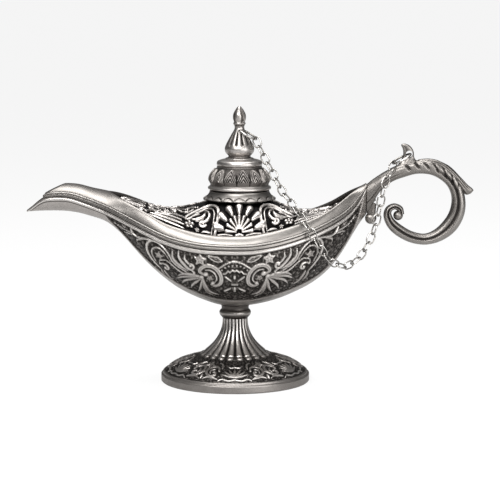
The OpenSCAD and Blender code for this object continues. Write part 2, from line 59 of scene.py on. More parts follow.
def box_mm(node_name):
    """Lowest and highest corner of a CAD node, in mm."""
    low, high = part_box(node_name)
    return np.array(low) / MM, np.array(high) / MM


FOOT_R, _, FOOT_H = box_mm("foot")[1]
_, STEM_BEAD_R, HULL_Z = box_mm("stem_collar")[1]
SPOUT_X = box_mm("lower_shell")[0][0]
STERN_X, HULL_HALF_W, _ = box_mm("lower_shell")[1]
NECK_LOW, NECK_HIGH = box_mm("neck_collar")
LID_LOW, LID_HIGH = box_mm("lid")
BUD_LOW, BUD_HIGH = box_mm("finial")
LID_X = (LID_LOW[0] + LID_HIGH[0]) / 2
# Bore round the tie rod, in the foot and in the collar over it
ROD_BORE_R = 2.15
TURN = 2 * math.pi


# Curves

def angles(count):
    """Angles evenly round a full turn."""
    return np.linspace(0, TURN, count, endpoint=False)


def fair(table, x):
    """Smooth curve through [place, value] pairs, read at x."""
    at, value = np.array(table, float).T
    rise = np.diff(value) / np.diff(at)
    slope = np.zeros(len(at))
    slope[0], slope[-1] = rise[0], rise[-1]
    both = rise[:-1] + rise[1:]
    same = rise[:-1] * rise[1:] > 0
    slope[1:-1] = np.where(same, 2 * rise[:-1] * rise[1:] / np.where(same, both, 1), 0)
    i = np.clip(np.searchsorted(at, x, side="right") - 1, 0, len(at) - 2)
    w = at[i + 1] - at[i]
    u = np.clip((x - at[i]) / w, 0, 1)
    return (value[i] * (1 + 2 * u) * (1 - u) ** 2 + slope[i] * w * u * (1 - u) ** 2
            + value[i + 1] * u ** 2 * (3 - 2 * u) - slope[i + 1] * w * u ** 2 * (1 - u))


# Furthest that a line is averaged over to each side
FLOW_MM = 2.5


def flowing(table, x):
    """The same curve averaged over a few mm, so that polished metal shows no steps in it."""
    x = np.asarray(x, float)
    first, last = table[0][0], table[-1][0]
    reach = np.clip(np.minimum(x - first, last - x) / 2, 0, FLOW_MM)
    total, weights = 0, 0
    for k in np.linspace(-2, 2, 13):
        weight = math.exp(-k * k / 1.4)
        total = total + weight * fair(table, x + k * reach)
        weights += weight
    return total / weights


def curve(points, per_span):
    """Smooth line through points, with that many places to a span."""
    p = np.array(points, float)
    last = len(p) - 1
    out = []
    for i in range(last):
        a, b, c, d = p[max(0, i - 1)], p[i], p[i + 1], p[min(last, i + 2)]
        for u in np.arange(per_span) / per_span:
            out.append(0.5 * (2 * b + (c - a) * u + (2 * a - 5 * b + 4 * c - d) * u ** 2
                              + (3 * b - a - 3 * c + d) * u ** 3))
    return np.array(out + [p[-1]])


def spaced(points, step):
    """Points along a line at most a step apart, with its corners kept."""
    p = np.array(points, float)
    out = [p[:1]]
    for a, b in zip(p[:-1], p[1:]):
        n = max(1, int(math.ceil(np.linalg.norm(b[:2] - a[:2]) / step)))
        out.append(a + (b - a) * (np.arange(1, n + 1) / n)[:, None])
    return np.concatenate(out)


def along(points):
    """Distance along a line at each of its points."""
    return np.concatenate([[0], np.cumsum(np.linalg.norm(np.diff(points, axis=0), axis=1))])


def swell(x, low, high):
    """0 below low, 1 above high, smooth between them."""
    u = np.clip((x - low) / (high - low), 0, 1)
    return u * u * (3 - 2 * u)


def bump(x, middle, half):
    """Half-round bead across a line: 1 at its middle, 0 at half its width."""
    return np.sqrt(np.clip(1 - ((x - middle) / half) ** 2, 0, 1))


def bell(x, middle, width):
    """Soft line: 1 at its middle, fading out over its width."""
    return np.exp(-((x - middle) / width) ** 2)


# Meshes

def build(name, verts, faces, wear_and_shade):
    """Object from points in mm, turned outside out, with how rubbed bright each point is, painted shade
    included.
    """
    verts = np.asarray(verts, float)
    faces = [np.asarray(f) for f in faces]
    tris = np.concatenate([np.stack([f[:, 0], f[:, k], f[:, k + 1]], 1)
                           for f in faces for k in range(1, f.shape[1] - 1)])
    a, b, c = (verts[tris[:, k]] for k in range(3))
    if np.einsum("ij,ij->i", a, np.cross(b, c)).sum() < 0:
        faces = [f[:, ::-1] for f in faces]
    mesh = bpy.data.meshes.new(name)
    mesh.from_pydata((verts * MM).tolist(), [], [row for f in faces for row in f.tolist()])
    mesh.shade_smooth()
    mesh.attributes.new("wear_and_shade", "FLOAT", "POINT").data.foreach_set(
        "value", np.asarray(wear_and_shade, np.float32).ravel())
    obj = bpy.data.objects.new(name, mesh)
    bpy.context.scene.collection.objects.link(obj)
    return obj


def skin(name, rings, wear_and_shade=0.5, loop=False):
    """Closed mesh through rings of points; loop joins the last ring to the first one."""
    m, n = rings.shape[:2]
    index = np.arange(m * n).reshape(m, n)
    low, high = (index, np.roll(index, -1, 0)) if loop else (index[:-1], index[1:])
    quads = np.stack([low, np.roll(low, -1, 1), np.roll(high, -1, 1), high], -1).reshape(-1, 4)
    ends = [] if loop else [index[:1, ::-1], index[-1:]]
    return build(name, rings.reshape(-1, 3), [quads] + ends, np.broadcast_to(wear_and_shade, (m, n)))


# Inner faces of a wall are out of reach, and stay dark
INSIDE_RUB = 0.1


def walls(name, outer, inner, wear_and_shade, keep=None):
    """Closed mesh of two sheets a wall apart, without the cells that keep leaves out."""
    m, n = outer.shape[:2]
    index = np.arange(m * n).reshape(m, n)
    cells = np.stack([index[:-1, :-1], index[:-1, 1:], index[1:, 1:], index[1:, :-1]], -1)
    cells = cells[keep] if keep is not None else cells.reshape(-1, 4)
    edges = np.concatenate([cells[:, [k, (k + 1) % 4]] for k in range(4)])
    code = edges[:, 0] * m * n + edges[:, 1]
    rim = edges[~np.isin(code, edges[:, 1] * m * n + edges[:, 0])]
    side = np.stack([rim[:, 1], rim[:, 0], rim[:, 0] + m * n, rim[:, 1] + m * n], 1)
    quads = np.concatenate([cells, cells[:, ::-1] + m * n, side])
    used, quads = np.unique(quads, return_inverse=True)
    verts = np.concatenate([outer.reshape(-1, 3), inner.reshape(-1, 3)])[used]
    shade = np.concatenate([np.ravel(wear_and_shade), np.full(m * n, INSIDE_RUB)])[used]
    return build(name, verts, [quads.reshape(-1, 4)], shade)


def normals(grid):
    """Unit normals of a sheet of points."""
    across = np.cross(np.gradient(grid, axis=0), np.gradient(grid, axis=1))
    return across / np.maximum(np.linalg.norm(across, axis=-1, keepdims=True), 1e-9)


def both_flanks(x, halves):
    """Sheet over both flanks from half sections, with the order that its points are taken in."""
    n = halves.shape[1]
    order = np.concatenate([np.arange(n), np.arange(n - 2, -1, -1)])
    hand = np.sign(np.arange(2 * n - 1) - (n - 1))
    y, z = halves[:, order, 0] * hand, halves[:, order, 1]
    return np.stack([np.broadcast_to(x[:, None], y.shape), y, z], -1), order


def outward(outer, inner):
    """Unit normals of the outer sheet that point away from the inner one."""
    out = normals(outer)
    return out * np.sign((out * (outer - inner)).sum(-1).mean())


def turned(name, outline, centre_x, height, carve, steps):
    """Turned piece round an upright axis: a closed outline of [radius, height] with carve's relief.

    carve gets the angle and the distance along the outline, and returns mm of relief and the rub.
    """
    line = np.concatenate([outline, outline[:1]])
    s = along(line)[:-1]
    tangent = np.roll(outline, -1, 0) - np.roll(outline, 1, 0)
    tangent /= np.maximum(np.linalg.norm(tangent, axis=1, keepdims=True), 1e-9)
    out = np.stack([tangent[:, 1], -tangent[:, 0]], 1)
    theta = angles(steps)
    relief, wear_and_shade = carve(theta[None, :], s[:, None])
    relief = np.broadcast_to(relief, (len(s), steps))
    r = outline[:, :1] + out[:, :1] * relief
    z = outline[:, 1:] + out[:, 1:] * relief
    rings = np.stack([centre_x + r * np.cos(theta), r * np.sin(theta), height + z], -1)
    return skin(name, rings, np.broadcast_to(wear_and_shade, r.shape), loop=True)


def joined(name, parts):
    """One object of several closed meshes."""
    for obj in bpy.context.selected_objects:
        obj.select_set(False)
    for obj in parts:
        obj.select_set(True)
    bpy.context.view_layer.objects.active = parts[0]
    bpy.ops.object.join()
    parts[0].name = name
    return parts[0]


# Relief pressed up from a flat sheet

class Relief:
    """Heights over a flat sheet in mm, which strokes, beads and leaves are pressed up from."""

    def __init__(self, width, depth, step):
        self.step = step
        self.x = np.arange(0, width + step, step)
        self.y = np.arange(0, depth + step, step)
        self.h = np.zeros((len(self.x), len(self.y)))

    def stroke(self, points, widths, top, vein=0.0):
        """Rounded stroke through points; widths are half-widths spread evenly along it."""
        line = curve(points, 8)
        half = np.interp(np.linspace(0, 1, len(line)), np.linspace(0, 1, len(widths)), widths)
        reach = max(widths) + self.step
        i0, i1 = np.searchsorted(self.x, [line[:, 0].min() - reach, line[:, 0].max() + reach])
        j0, j1 = np.searchsorted(self.y, [line[:, 1].min() - reach, line[:, 1].max() + reach])
        gx, gy = np.meshgrid(self.x[i0:i1], self.y[j0:j1], indexing="ij")
        q = np.full(gx.shape, 9.0)
        for (px, py), w in zip(line, half):
            np.minimum(q, np.hypot(gx - px, gy - py) / max(w, 0.05), out=q)
        h = top * bump(q, 0, 1)
        h -= vein * bell(q, 0, 0.28) * (q < 1)
        part = self.h[i0:i1, j0:j1]
        np.maximum(part, h, out=part)

    def strokes(self, rows, top):
        """Several strokes from rows of points and half-widths."""
        for points, widths in rows:
            self.stroke(points, widths, top)

    def bead(self, x, y, r, top):
        """Ball pressed up at a place."""
        self.stroke([[x, y], [x + 0.01, y]], [r], top)

    def volute(self, x, y, r, start, turns, width, top, tail, hand=1, vein=0.0):
        """Stroke that winds out from a ball at x, y to radius r and runs on through the tail."""
        u = np.linspace(0, 1, int(turns * 12) + 1)
        a = math.radians(start) + hand * TURN * turns * u
        reach = r * (0.25 + 0.75 * u)
        wound = np.stack([x + reach * np.cos(a), y + reach * np.sin(a)], 1)
        self.bead(x, y, width * 1.5, top * 1.1)
        self.stroke(np.concatenate([wound, tail]), [width * part for part in (0.9, 1, 1.1, 0.8, 0.35)],
                    top, vein)

    def leaves(self, rows, top, vein=0.25):
        """Pointed leaves from rows of root x, y, tip x, y, sideways bend and half-width."""
        for ax, ay, bx, by, bend, width in rows:
            a, d = np.array([ax, ay]), np.array([bx - ax, by - ay])
            side = np.array([-d[1], d[0]]) * bend
            self.stroke([a, a + d * 0.35 + side * 0.8, a + d * 0.7 + side, a + d],
                        [width * 0.35, width, width * 0.8, 0.08], top, vein)

    def fan(self, x, y, inner, outer, count, first, last, width, top):
        """Rays from inner to outer radius, widening outwards, between two angles in degrees."""
        for k in range(count):
            a = math.radians(first + (last - first) * k / (count - 1))
            c, s = math.cos(a), math.sin(a)
            self.stroke([[x + inner * c, y + inner * s], [x + outer * c, y + outer * s]],
                        [width * 0.45, width], top)

    def star(self, x, y, r, top):
        """Five-pointed star with a groove down each point."""
        for k in range(5):
            a = math.radians(72 * k - 90)
            self.stroke([[x + 0.35 * r * math.cos(a), y + 0.35 * r * math.sin(a)],
                         [x + r * math.cos(a), y + r * math.sin(a)]], [0.42 * r, 0.1], top, 0.5 * top)
        self.bead(x, y, 0.2 * r, top)

    def flower(self, x, y, r, top):
        """Five balls round a sixth."""
        for a in angles(5) + 0.3:
            self.bead(x + 0.6 * r * math.cos(a), y + 0.6 * r * math.sin(a), 0.42 * r, top)
        self.bead(x, y, 0.3 * r, top * 1.15)

    def grain(self, pitch, amount, seed):
        """Stipple: small soft bumps, a pitch apart, between the strokes."""
        rng = np.random.default_rng(seed)
        rough = blurred(rng.standard_normal(self.h.shape), pitch / self.step * 0.28)
        self.h += rough * amount / rough.std() * (1 - swell(self.h, 0.02, 0.15))

    def read(self, x, y, sheet=None):
        """Height, or another sheet of the same size, at places in mm."""
        sheet = self.h if sheet is None else sheet
        u = np.clip(x / self.step, 0, sheet.shape[0] - 1.001)
        v = np.clip(y / self.step, 0, sheet.shape[1] - 1.001)
        i, j = u.astype(int), v.astype(int)
        fu, fv = u - i, v - j
        return ((sheet[i, j] * (1 - fu) + sheet[i + 1, j] * fu) * (1 - fv)
                + (sheet[i, j + 1] * (1 - fu) + sheet[i + 1, j + 1] * fu) * fv)

    def rubbed_and_shaded(self, x, y, full):
        """How bright wear, patina and painted light leave the metal: high and standing out is bright,
        low is dark.
        """
        # What stands out from its surroundings is brightened, part wear and part painted highlight, and
        # narrow hollows are darkened as painted shade
        proud = self.h - blurred(self.h, 0.7 / self.step)
        return self.read(x, y, np.clip(0.08 + (0.62 * self.h + 0.9 * proud) / full, 0, 1))


def blurred(sheet, cells):
    """Sheet smoothed by a bell curve some cells wide."""
    fu = np.fft.fftfreq(sheet.shape[0])[:, None]
    fv = np.fft.rfftfreq(sheet.shape[1])[None, :]
    passed = np.exp(-2 * (math.pi * cells) ** 2 * (fu ** 2 + fv ** 2))
    return np.fft.irfft2(np.fft.rfft2(sheet) * passed, s=sheet.shape)


# The hull's lines, the same as the castings': x from the foot's axis and mm above the stem collar.
# PLAN is half the width, SHEER the parting line, OPENING the share of the width that the deck fills,
# and RIDGE the deck's crown

PLAN = [[-93.3, 1.6], [-91, 3.6], [-85, 6], [-77, 7], [-68, 8.3], [-60, 11], [-50, 16], [-40, 21.3],
        [-30, 25.4], [-20, 28.5], [-10, 30.4], [0, 31], [10, 30.4], [20, 28.2], [30, 24.3], [38, 19.6],
        [45, 14.6], [51, 9.8], [56, 5.2], [58.8, 2.6]]
KEEL = [[-93.3, 42.2], [-85, 42.7], [-78, 42.7], [-71, 42], [-64.5, 40.3], [-57.6, 38.2], [-54.8, 36.3],
        [-50.8, 32.7], [-40.5, 20.9], [-34.4, 15.1], [-24.9, 7.9], [-13.4, 2.6], [-5, 0.2], [0, 0],
        [5, 0.2], [12.3, 1.4], [20.2, 3.6], [28.6, 7.2], [34, 10], [40.9, 15.2], [44.9, 19.6],
        [49.4, 26.2], [54.2, 34.6], [58.8, 41]]
SHEER = [[-93.3, 42.9], [-91, 44.6], [-85, 49], [-76, 49.4], [-67, 47], [-56.7, 43.5], [-43, 37.4],
         [-30, 31.8], [-22, 29.8], [-12, 28.5], [0, 28.2], [5, 28.2], [16, 29.5], [27, 32], [36, 34.9],
         [44, 38.2], [51, 42.2], [55, 46.4], [58.8, 53.5]]
RIM = [[-85.5, 53.4], [-81.4, 54.6], [-76, 55], [-71, 54.8], [-64.3, 53], [-56, 51.3], [-53, 50.3],
       [-43, 45.7], [-37, 42.8], [-31, 39.6], [-23, 37.2], [-14.7, 35.4], [-5, 34.4], [4, 34.4],
       [13, 35.6], [21.5, 37.4], [27, 38.9], [35.6, 41.6], [44.3, 45.8], [51, 50.7], [58.8, 55]]
OPENING = [[-57, 0], [-56, 0.12], [-54, 0.33], [-51, 0.56], [-47, 0.74], [-42, 0.83], [-36, 0.86],
           [0, 0.86], [40, 0.86], [46, 0.82], [50, 0.72], [53.5, 0.48], [56, 0.16], [57, 0]]
RIDGE = [[-57, 49.6], [-50, 48.4], [-43, 46.6], [-36, 44.9], [-30, 44], [-23, 44.8], [-14, 47.6],
         [0, 51.6], [18, 47.6], [25, 44.2], [33, 42.8], [40, 43], [46, 44.4], [51, 48], [57, 52]]
DRAWN_HALF_W = 31.0
# Lower edge of the carved panel, as mm of hull skin below the parting line
PANEL = [[-57.5, 2], [-54, 6], [-50, 9], [-46, 12.5], [-42, 15], [-36, 18.5], [-31, 20.5],
         [-24.5, 22.5], [-17, 25], [-8, 27.5], [0, 28], [9, 27.8], [18, 27], [29, 25.5], [36, 24],
         [40, 22], [43.5, 19.5], [47, 17], [50.5, 13], [54, 9], [57, 3.5]]


def half_width(x):
    """Half of the hull's width at the parting line."""
    return flowing(PLAN, x) * HULL_HALF_W / DRAWN_HALF_W


def bowl_half(x, grow, count):
    """Half section of the lower shell from the parting line to the keel, and distance along it."""
    a = np.linspace(0, math.pi / 2, 240)
    w = max(0.25, flowing(PLAN, x) - grow)
    top = HULL_Z + flowing(SHEER, x)
    d = max(0.25, top - HULL_Z - flowing(KEEL, x) - grow)
    fine = np.stack([w * np.cos(a) ** 0.86, top - d * np.sin(a) ** 0.92], 1)
    s = along(fine)
    at = np.linspace(0, s[-1], count)
    return np.stack([np.interp(at, s, fine[:, 0]), np.interp(at, s, fine[:, 1])], 1), at


# The carving's ground is sunk this far, so that its tops lie flush with the shell's skin
HULL_RELIEF = 0.62


def hull_carving():
    """Scrolls of one quarter of the hull: mm from the middle, mm down from the parting line."""
    r = Relief(60, 32, 0.15)
    high, faint = HULL_RELIEF, 0.5
    # Fan in the middle, with its dots, and an almond leaf over its shoulder
    r.strokes([
        ([[-5, 7.6], [-3, 5.6], [0, 4.7], [3, 5.4], [5, 6.6], [7.2, 8.2]], [0.35, 0.4, 0.3]),
        ([[-1, 8.6], [0, 9.2], [1, 8.8], [2, 9.6], [3, 9.3], [4, 10.4], [5, 10.5]], [0.35]),
        ([[0, 11.6], [0, 13.4]], [0.3, 0.6, 0.2]), ([[1.5, 14.2], [4.2, 12]], [0.25, 0.5, 0.35]),
        ([[-1, 16.2], [1.2, 16.2]], [0.4]), ([[0, 18], [0, 20.4]], [0.35, 0.6, 0.5]),
        ([[1.8, 18.4], [4.4, 20.2]], [0.25, 0.6, 0.5]),
        ([[5.5, 4.6], [7.5, 3], [10, 2.6], [11.6, 2.7], [10, 4], [7.6, 5], [5.5, 4.6]], [0.28])], high)
    for x, y in [[0.9, 6.6], [2.6, 6.9], [4.2, 7.6], [5.6, 8.8]]:
        r.bead(x, y, 0.42, 0.45)
    r.stroke([[6.5, 4.2], [10, 3.2]], [0.2, 0.3, 0.1], 0.4)
    r.star(15.2, 4.6, 2.7, high)
    # Big C-scroll, a double band that opens outwards
    r.stroke([[13.4, 11.6], [15.4, 10.4], [14.6, 8.4], [12.4, 7.1], [9.4, 7.5], [7, 9.6], [5.9, 12.6],
              [6.3, 15.8], [8.4, 17.4], [10.2, 16.6]], [0.5, 0.95, 0.95, 1.0, 0.95, 0.6], high, 0.3)
    r.bead(12.8, 11.4, 1.25, high)
    r.bead(9.6, 15.8, 0.95, high)
    r.flower(11, 13.2, 1.4, 0.4)
    # S-scroll from the small volute under the star to the volute outside it
    r.volute(19.4, 8.3, 2.3, -60, 0.8, 0.5, high, [
        [17.8, 11.4], [20.4, 13], [23.6, 12.8], [26.4, 11.2], [28.6, 9.8], [31, 9.2], [33.4, 10.6]],
        -1, 0.2)
    r.stroke([[19, 12.2], [22, 11.8], [25, 9.6], [27.6, 7.9]], [0.2, 0.35, 0.2], 0.45)
    r.volute(30.6, 13.6, 2.5, 90, 0.7, 0.5, high, [[33.2, 10.8], [31, 9.4]])
    # Flame leaves over the volute, then the sheaf that springs from the scrolls' meeting
    r.leaves([
        [19.2, 10.6, 24.6, 1.6, 0.18, 0.75], [20.6, 11, 27.4, 2.2, 0.22, 0.7],
        [21.4, 11.6, 28.6, 5, 0.16, 0.6], [19.6, 8, 21.8, 3.4, 0.2, 0.55],
        [15.8, 12.6, 25.4, 16, -0.14, 0.8], [15.6, 13, 26.2, 18.4, -0.1, 0.85],
        [15.2, 13.6, 23.6, 20.6, -0.12, 0.85], [14.8, 13.8, 19.4, 22.6, -0.08, 0.8],
        [14.4, 13.8, 16.2, 23.2, 0.05, 0.75], [14, 13.6, 6.4, 23.4, -0.2, 0.85],
        [14, 14.6, 8.4, 25, -0.16, 0.7]], high)
    r.bead(14.6, 13, 1.1, high)
    # Outer loop with its inner line, star and leaves
    r.stroke([[27.6, 8.4], [29.6, 5], [32.8, 2.6], [36, 2.4], [38.4, 4.4], [39, 8], [37.6, 11.6],
              [35, 14.6], [33, 16.4]], [0.3, 0.5, 0.6, 0.55, 0.25], high, 0.2)
    r.strokes([
        ([[12.8, 9.3], [10.6, 9.2], [8.6, 10.9], [7.9, 13.4], [8.7, 15.2]], [0.25, 0.4, 0.4, 0.25]),
        ([[28.4, 9], [31, 5.8], [34, 4.6], [36.4, 6.4], [36.6, 9.6], [35, 12.6]],
         [0.25, 0.4, 0.25])], faint)
    r.star(33.6, 8.4, 1.9, faint)
    r.leaves([[32.8, 16.6, 30, 21.6, -0.1, 0.6], [31.4, 16.4, 25.6, 22.4, -0.12, 0.7]], faint)
    # Tendril that runs out to the panel's point
    r.stroke([[33, 2.2], [37, 2.6], [40.6, 3.8], [43.6, 4.6], [45.6, 4], [48, 4.4], [51, 4.6],
              [54, 4.2]], [0.35, 0.45, 0.5, 0.45, 0.35, 0.15], high)
    r.leaves([[44.4, 4.6, 46.2, 1.8, 0.1, 0.45]], high, 0)
    r.leaves([[45, 4.8, 49.4, 6.8, -0.1, 0.5]], high, 0.1)
    r.leaves([[40.4, 4.2, 43.6, 7.6, -0.16, 0.6]], faint, 0.1)
    r.grain(0.85, 0.085, 3)
    return r


def lower_hull():
    """The lower shell: a bowl with a carved panel on each flank and a trough for a lower lip."""
    trough_end, bowl_end = -60, 57
    x = np.concatenate([np.arange(SPOUT_X, trough_end, 0.55), np.arange(trough_end, bowl_end, 0.3),
                        np.linspace(bowl_end, STERN_X, 5)])
    count, wall = 118, 1.7
    sides, down = (np.array(part) for part in zip(*(bowl_half(v, 0, count) for v in x)))
    cores = np.array([bowl_half(v, wall, count)[0] for v in x])
    cores[:, 0, 1] = sides[:, 0, 1]
    sides[:, :, 0] *= HULL_HALF_W / DRAWN_HALF_W
    outer, order = both_flanks(x, sides)
    inner, _ = both_flanks(x, cores)
    reach, s = np.abs(x)[:, None], down[:, order]
    border = (flowing(PANEL, x) * swell(x, -58, -57) * swell(-x, -57.6, -56.8))[:, None]
    inside = swell(s, 1.75, 2.05) * (1 - swell(s, border - 0.35, border - 0.05))
    top_bead = bump(s, 1.05, 0.55)
    edge_bead = bump(s, border + 0.25, 0.4) * (border > 2)
    edge_groove = bump(s, border - 0.15, 0.35) * (border > 2)
    carving = hull_carving()
    relief = (carving.read(reach, s) - HULL_RELIEF) * inside + 0.2 * top_bead + 0.12 * edge_bead
    wear_and_shade = (inside * carving.rubbed_and_shaded(reach, s, HULL_RELIEF) + (1 - inside) * 0.66 + 0.3 * edge_bead
           + 0.25 * top_bead - 0.5 * bump(s, 1.8, 0.3) - 0.4 * edge_groove - 0.3 * bump(s, 0.1, 0.35))
    return walls("hull_bowl", outer + outward(outer, inner) * relief[..., None], inner,
                 np.clip(wear_and_shade, 0, 1))


# Points up the rim's side, and a mark for the rest that no moulding reaches
RIM_SIDE_POINTS = 34
OFF_THE_SIDE = 9.0


def cap_half(x):
    """Half section of the upper shell over the rim, and the height that its mouldings go by."""
    w = half_width(x)
    low, high = HULL_Z + flowing(SHEER, x), HULL_Z + flowing(RIM, x)
    open_w = max(0.25, w * fair(OPENING, x))
    scale = min(1, (high - low) / 6.4)
    shoulder = low + 2.9 * scale
    side = np.linspace([w, low + 0.3 * scale], [w * 0.985, shoulder], RIM_SIDE_POINTS)
    u = np.linspace(0, 1, 60)[1:]
    arc = np.stack([open_w + (w * 0.975 - open_w) * (1 - u ** 1.25),
                    shoulder + (high - shoulder) * np.sin(math.pi / 2 * u)], 1)
    section = np.concatenate([side, arc, [[0, high]]])
    on_side = np.arange(len(section)) < RIM_SIDE_POINTS
    return section, np.where(on_side, (section[:, 1] - low) / scale, OFF_THE_SIDE)


# The roof of the spout is cut off aslant, from the tip of the upper lip up to its ridge
LIP_X, LIP_Z = -85.6, 84.2
BEVEL_END_X, BEVEL_END_Z = -75.5, 89.55


def upper_hull():
    """The upper shell: rim with its mouldings, and the roof of the spout with its bevelled mouth."""
    end = OPENING[-1][0]
    x = np.concatenate([np.arange(LIP_X, -end - 0.3, 0.4), np.arange(-end - 0.2, end + 0.3, 0.4),
                        np.linspace(end + 0.4, STERN_X, 5)])
    halves, marks = (np.array(part) for part in zip(*(cap_half(v) for v in x)))
    slant = LIP_Z + (x - LIP_X) * (BEVEL_END_Z - LIP_Z) / (BEVEL_END_X - LIP_X)
    cut = np.minimum(halves[:, :, 1], slant[:, None] + 0.08 * halves[:, :, 0])
    bevelled = halves[:, :, 1] - cut
    halves[:, :, 1] = cut
    outer, order = both_flanks(x, halves)
    side_wall, top_wall = 1.6, 1.8
    inner = outer.copy()
    width = np.abs(outer[..., 1])
    inner[..., 1] = np.sign(outer[..., 1]) * np.maximum(width - side_wall,
                                                        np.minimum(width, halves[:, -2:-1, 0]))
    inner[..., 2] = np.maximum(outer[..., 2] - top_wall, outer[:, :1, 2])
    s = marks[:, order]
    ridge = bump(s, 2.3, 0.42)
    groove = bell(s, 2.85, 0.14) + 0.7 * bell(s, 1.72, 0.12)
    relief = 0.2 * ridge - 0.38 * groove - 0.1 * (s < 1.7) * (1 - bump(s, 1, 0.75))
    relief *= (bevelled[:, order] < 0.02) * swell(x, LIP_X, LIP_X + 3)[:, None]
    wear_and_shade = np.clip(0.8 + 0.2 * ridge - 0.85 * np.clip(groove, 0, 1) - 0.6 * bump(s, 0.25, 0.3), 0, 1)
    over_opening = np.abs(x) < end + 0.05
    middle = halves.shape[1] - 1
    hole = ((over_opening[:-1] & over_opening[1:])[:, None]
            & np.isin(np.arange(2 * middle), [middle - 1, middle]))
    return walls("rim_and_spout_roof", outer + outward(outer, inner) * relief[..., None], inner, wear_and_shade,
                 ~hole)


DECK_RELIEF = 1.5


def deck_carving():
    """Openwork of one quarter of the deck: mm from the neck's axis, mm up from the rim's edge."""
    r = Relief(64, 30, 0.14)
    high, middle, low = DECK_RELIEF, 1.3, 1.2
    # Double shell in the middle
    r.fan(0, 1.8, 7.4, 10.6, 9, -14, 194, 1.95, high)
    r.fan(0, 2.0, 1.4, 5.7, 9, 4, 176, 0.98, high)
    r.stroke([[0, 1.2], [1.6, 1.0]], [0.8, 0.6], high)
    r.stroke([[4.6, 2.4], [7, 2.6], [9.2, 2.3]], [0.35, 0.4], 1.0)
    # Frame of the C-scroll panel, two lines side by side
    r.stroke([[10.9, 0.6], [10.2, 3.4], [9.6, 6.4], [9.3, 9.4], [9.9, 12.2], [12.4, 13.9], [16, 14.1],
              [19.8, 13], [22.6, 11], [23.8, 8.6], [22.8, 7.6], [21.2, 8.8]],
             [0.7, 0.85, 0.85, 0.8, 0.6], high, 0.6)
    r.strokes([
        ([[3, 0.9], [6, 1.2], [9.4, 0.9]], [0.5, 0.65, 0.6]),
        ([[12.3, 0.8], [11.8, 4], [11.2, 7], [11.2, 9.6], [12.2, 11.6], [14.6, 12.5], [17.4, 12.1],
          [19.8, 10.9]], [0.35, 0.45, 0.45, 0.3])], low)
    r.stroke([[15.2, 11.2], [13.6, 9.8], [13.4, 7.4], [15, 5.6], [16.9, 5.5], [17.3, 4.1], [15.8, 3.5],
              [14.6, 4.2]], [0.45, 0.7, 0.75, 0.5], high, 0.3)
    r.bead(15.9, 4.6, 0.9, high)
    r.leaves([[19.4, 6.2, 15.4, 8.2, 0.2, 0.8]], low, 0.4)
    r.leaves([[17.8, 10.6, 21.4, 8.6, 0.2, 0.7], [45, 3, 50, 0.9, 0.1, 0.6]], low, 0.3)
    r.leaves([[12.6, 1.4, 17, 1.2, 0.1, 0.6]], 1.1, 0.3)
    # Long leaves and volutes towards the spout and the handle
    r.leaves([
        [20.8, 7.2, 15, 10.4, 0.24, 1.15], [24.4, 1.8, 41, 1.7, 0.08, 1.15],
        [25.6, 6.8, 37.6, 7.6, 0.14, 1.2], [44.6, 6, 52.6, 2.4, 0.16, 1.1],
        [44, 8.4, 53.6, 5.4, 0.16, 1.0]], high, 0.5)
    r.leaves([[24.6, 4, 39.6, 4.6, 0.1, 1.3]], high, 0.6)
    r.leaves([[24.8, 9.4, 33, 10.6, 0.2, 1.1]], middle, 0.5)
    r.volute(43.4, 3.4, 2.4, 200, 0.85, 0.7, high,
             [[40.6, 6], [38.6, 9.4], [34.6, 12.4], [29.6, 13.6]], vein=0.3)
    r.volute(36.2, 10.2, 1.9, 20, 0.8, 0.6, middle, [[32, 12], [28, 11.8]], hand=-1)
    r.volute(29, 16.8, 2.2, 180, 0.85, 0.7, 1.4, [[24.6, 14.6], [20.6, 15.6]])
    for x, y, size, top in ([22, 4.6, 2.3, 1.4], [18.6, 2.2, 1.2, 1.0], [32.6, 15.6, 1.7, 1.2],
                            [39.4, 13.6, 1.7, 1.2]):
        r.flower(x, y, size, top)
    r.leaves([[42.6, 10.8, 51, 9, 0.14, 0.9]], middle, 0.4)
    for x, y in [[36, 17], [43, 14.6], [24, 18.4], [19.6, 18.2], [33, 19.6], [27, 21]]:
        r.leaves([[x, y, x + 4.4, y + 1.2, 0.2, 0.9]], middle, 0.4)
        r.bead(x - 0.8, y - 0.9, 0.6, 1.1)
    r.grain(0.7, 0.06, 5)
    return r


# The neck collar covers the deck inside the first radius, and the deck dips under it inside the other
NECK_HIDE_R, NECK_DIP_R = 14.4, 16.4
DECK_END_X, DECK_WALL, DECK_GAP = 54.6, 1.6, 0.42


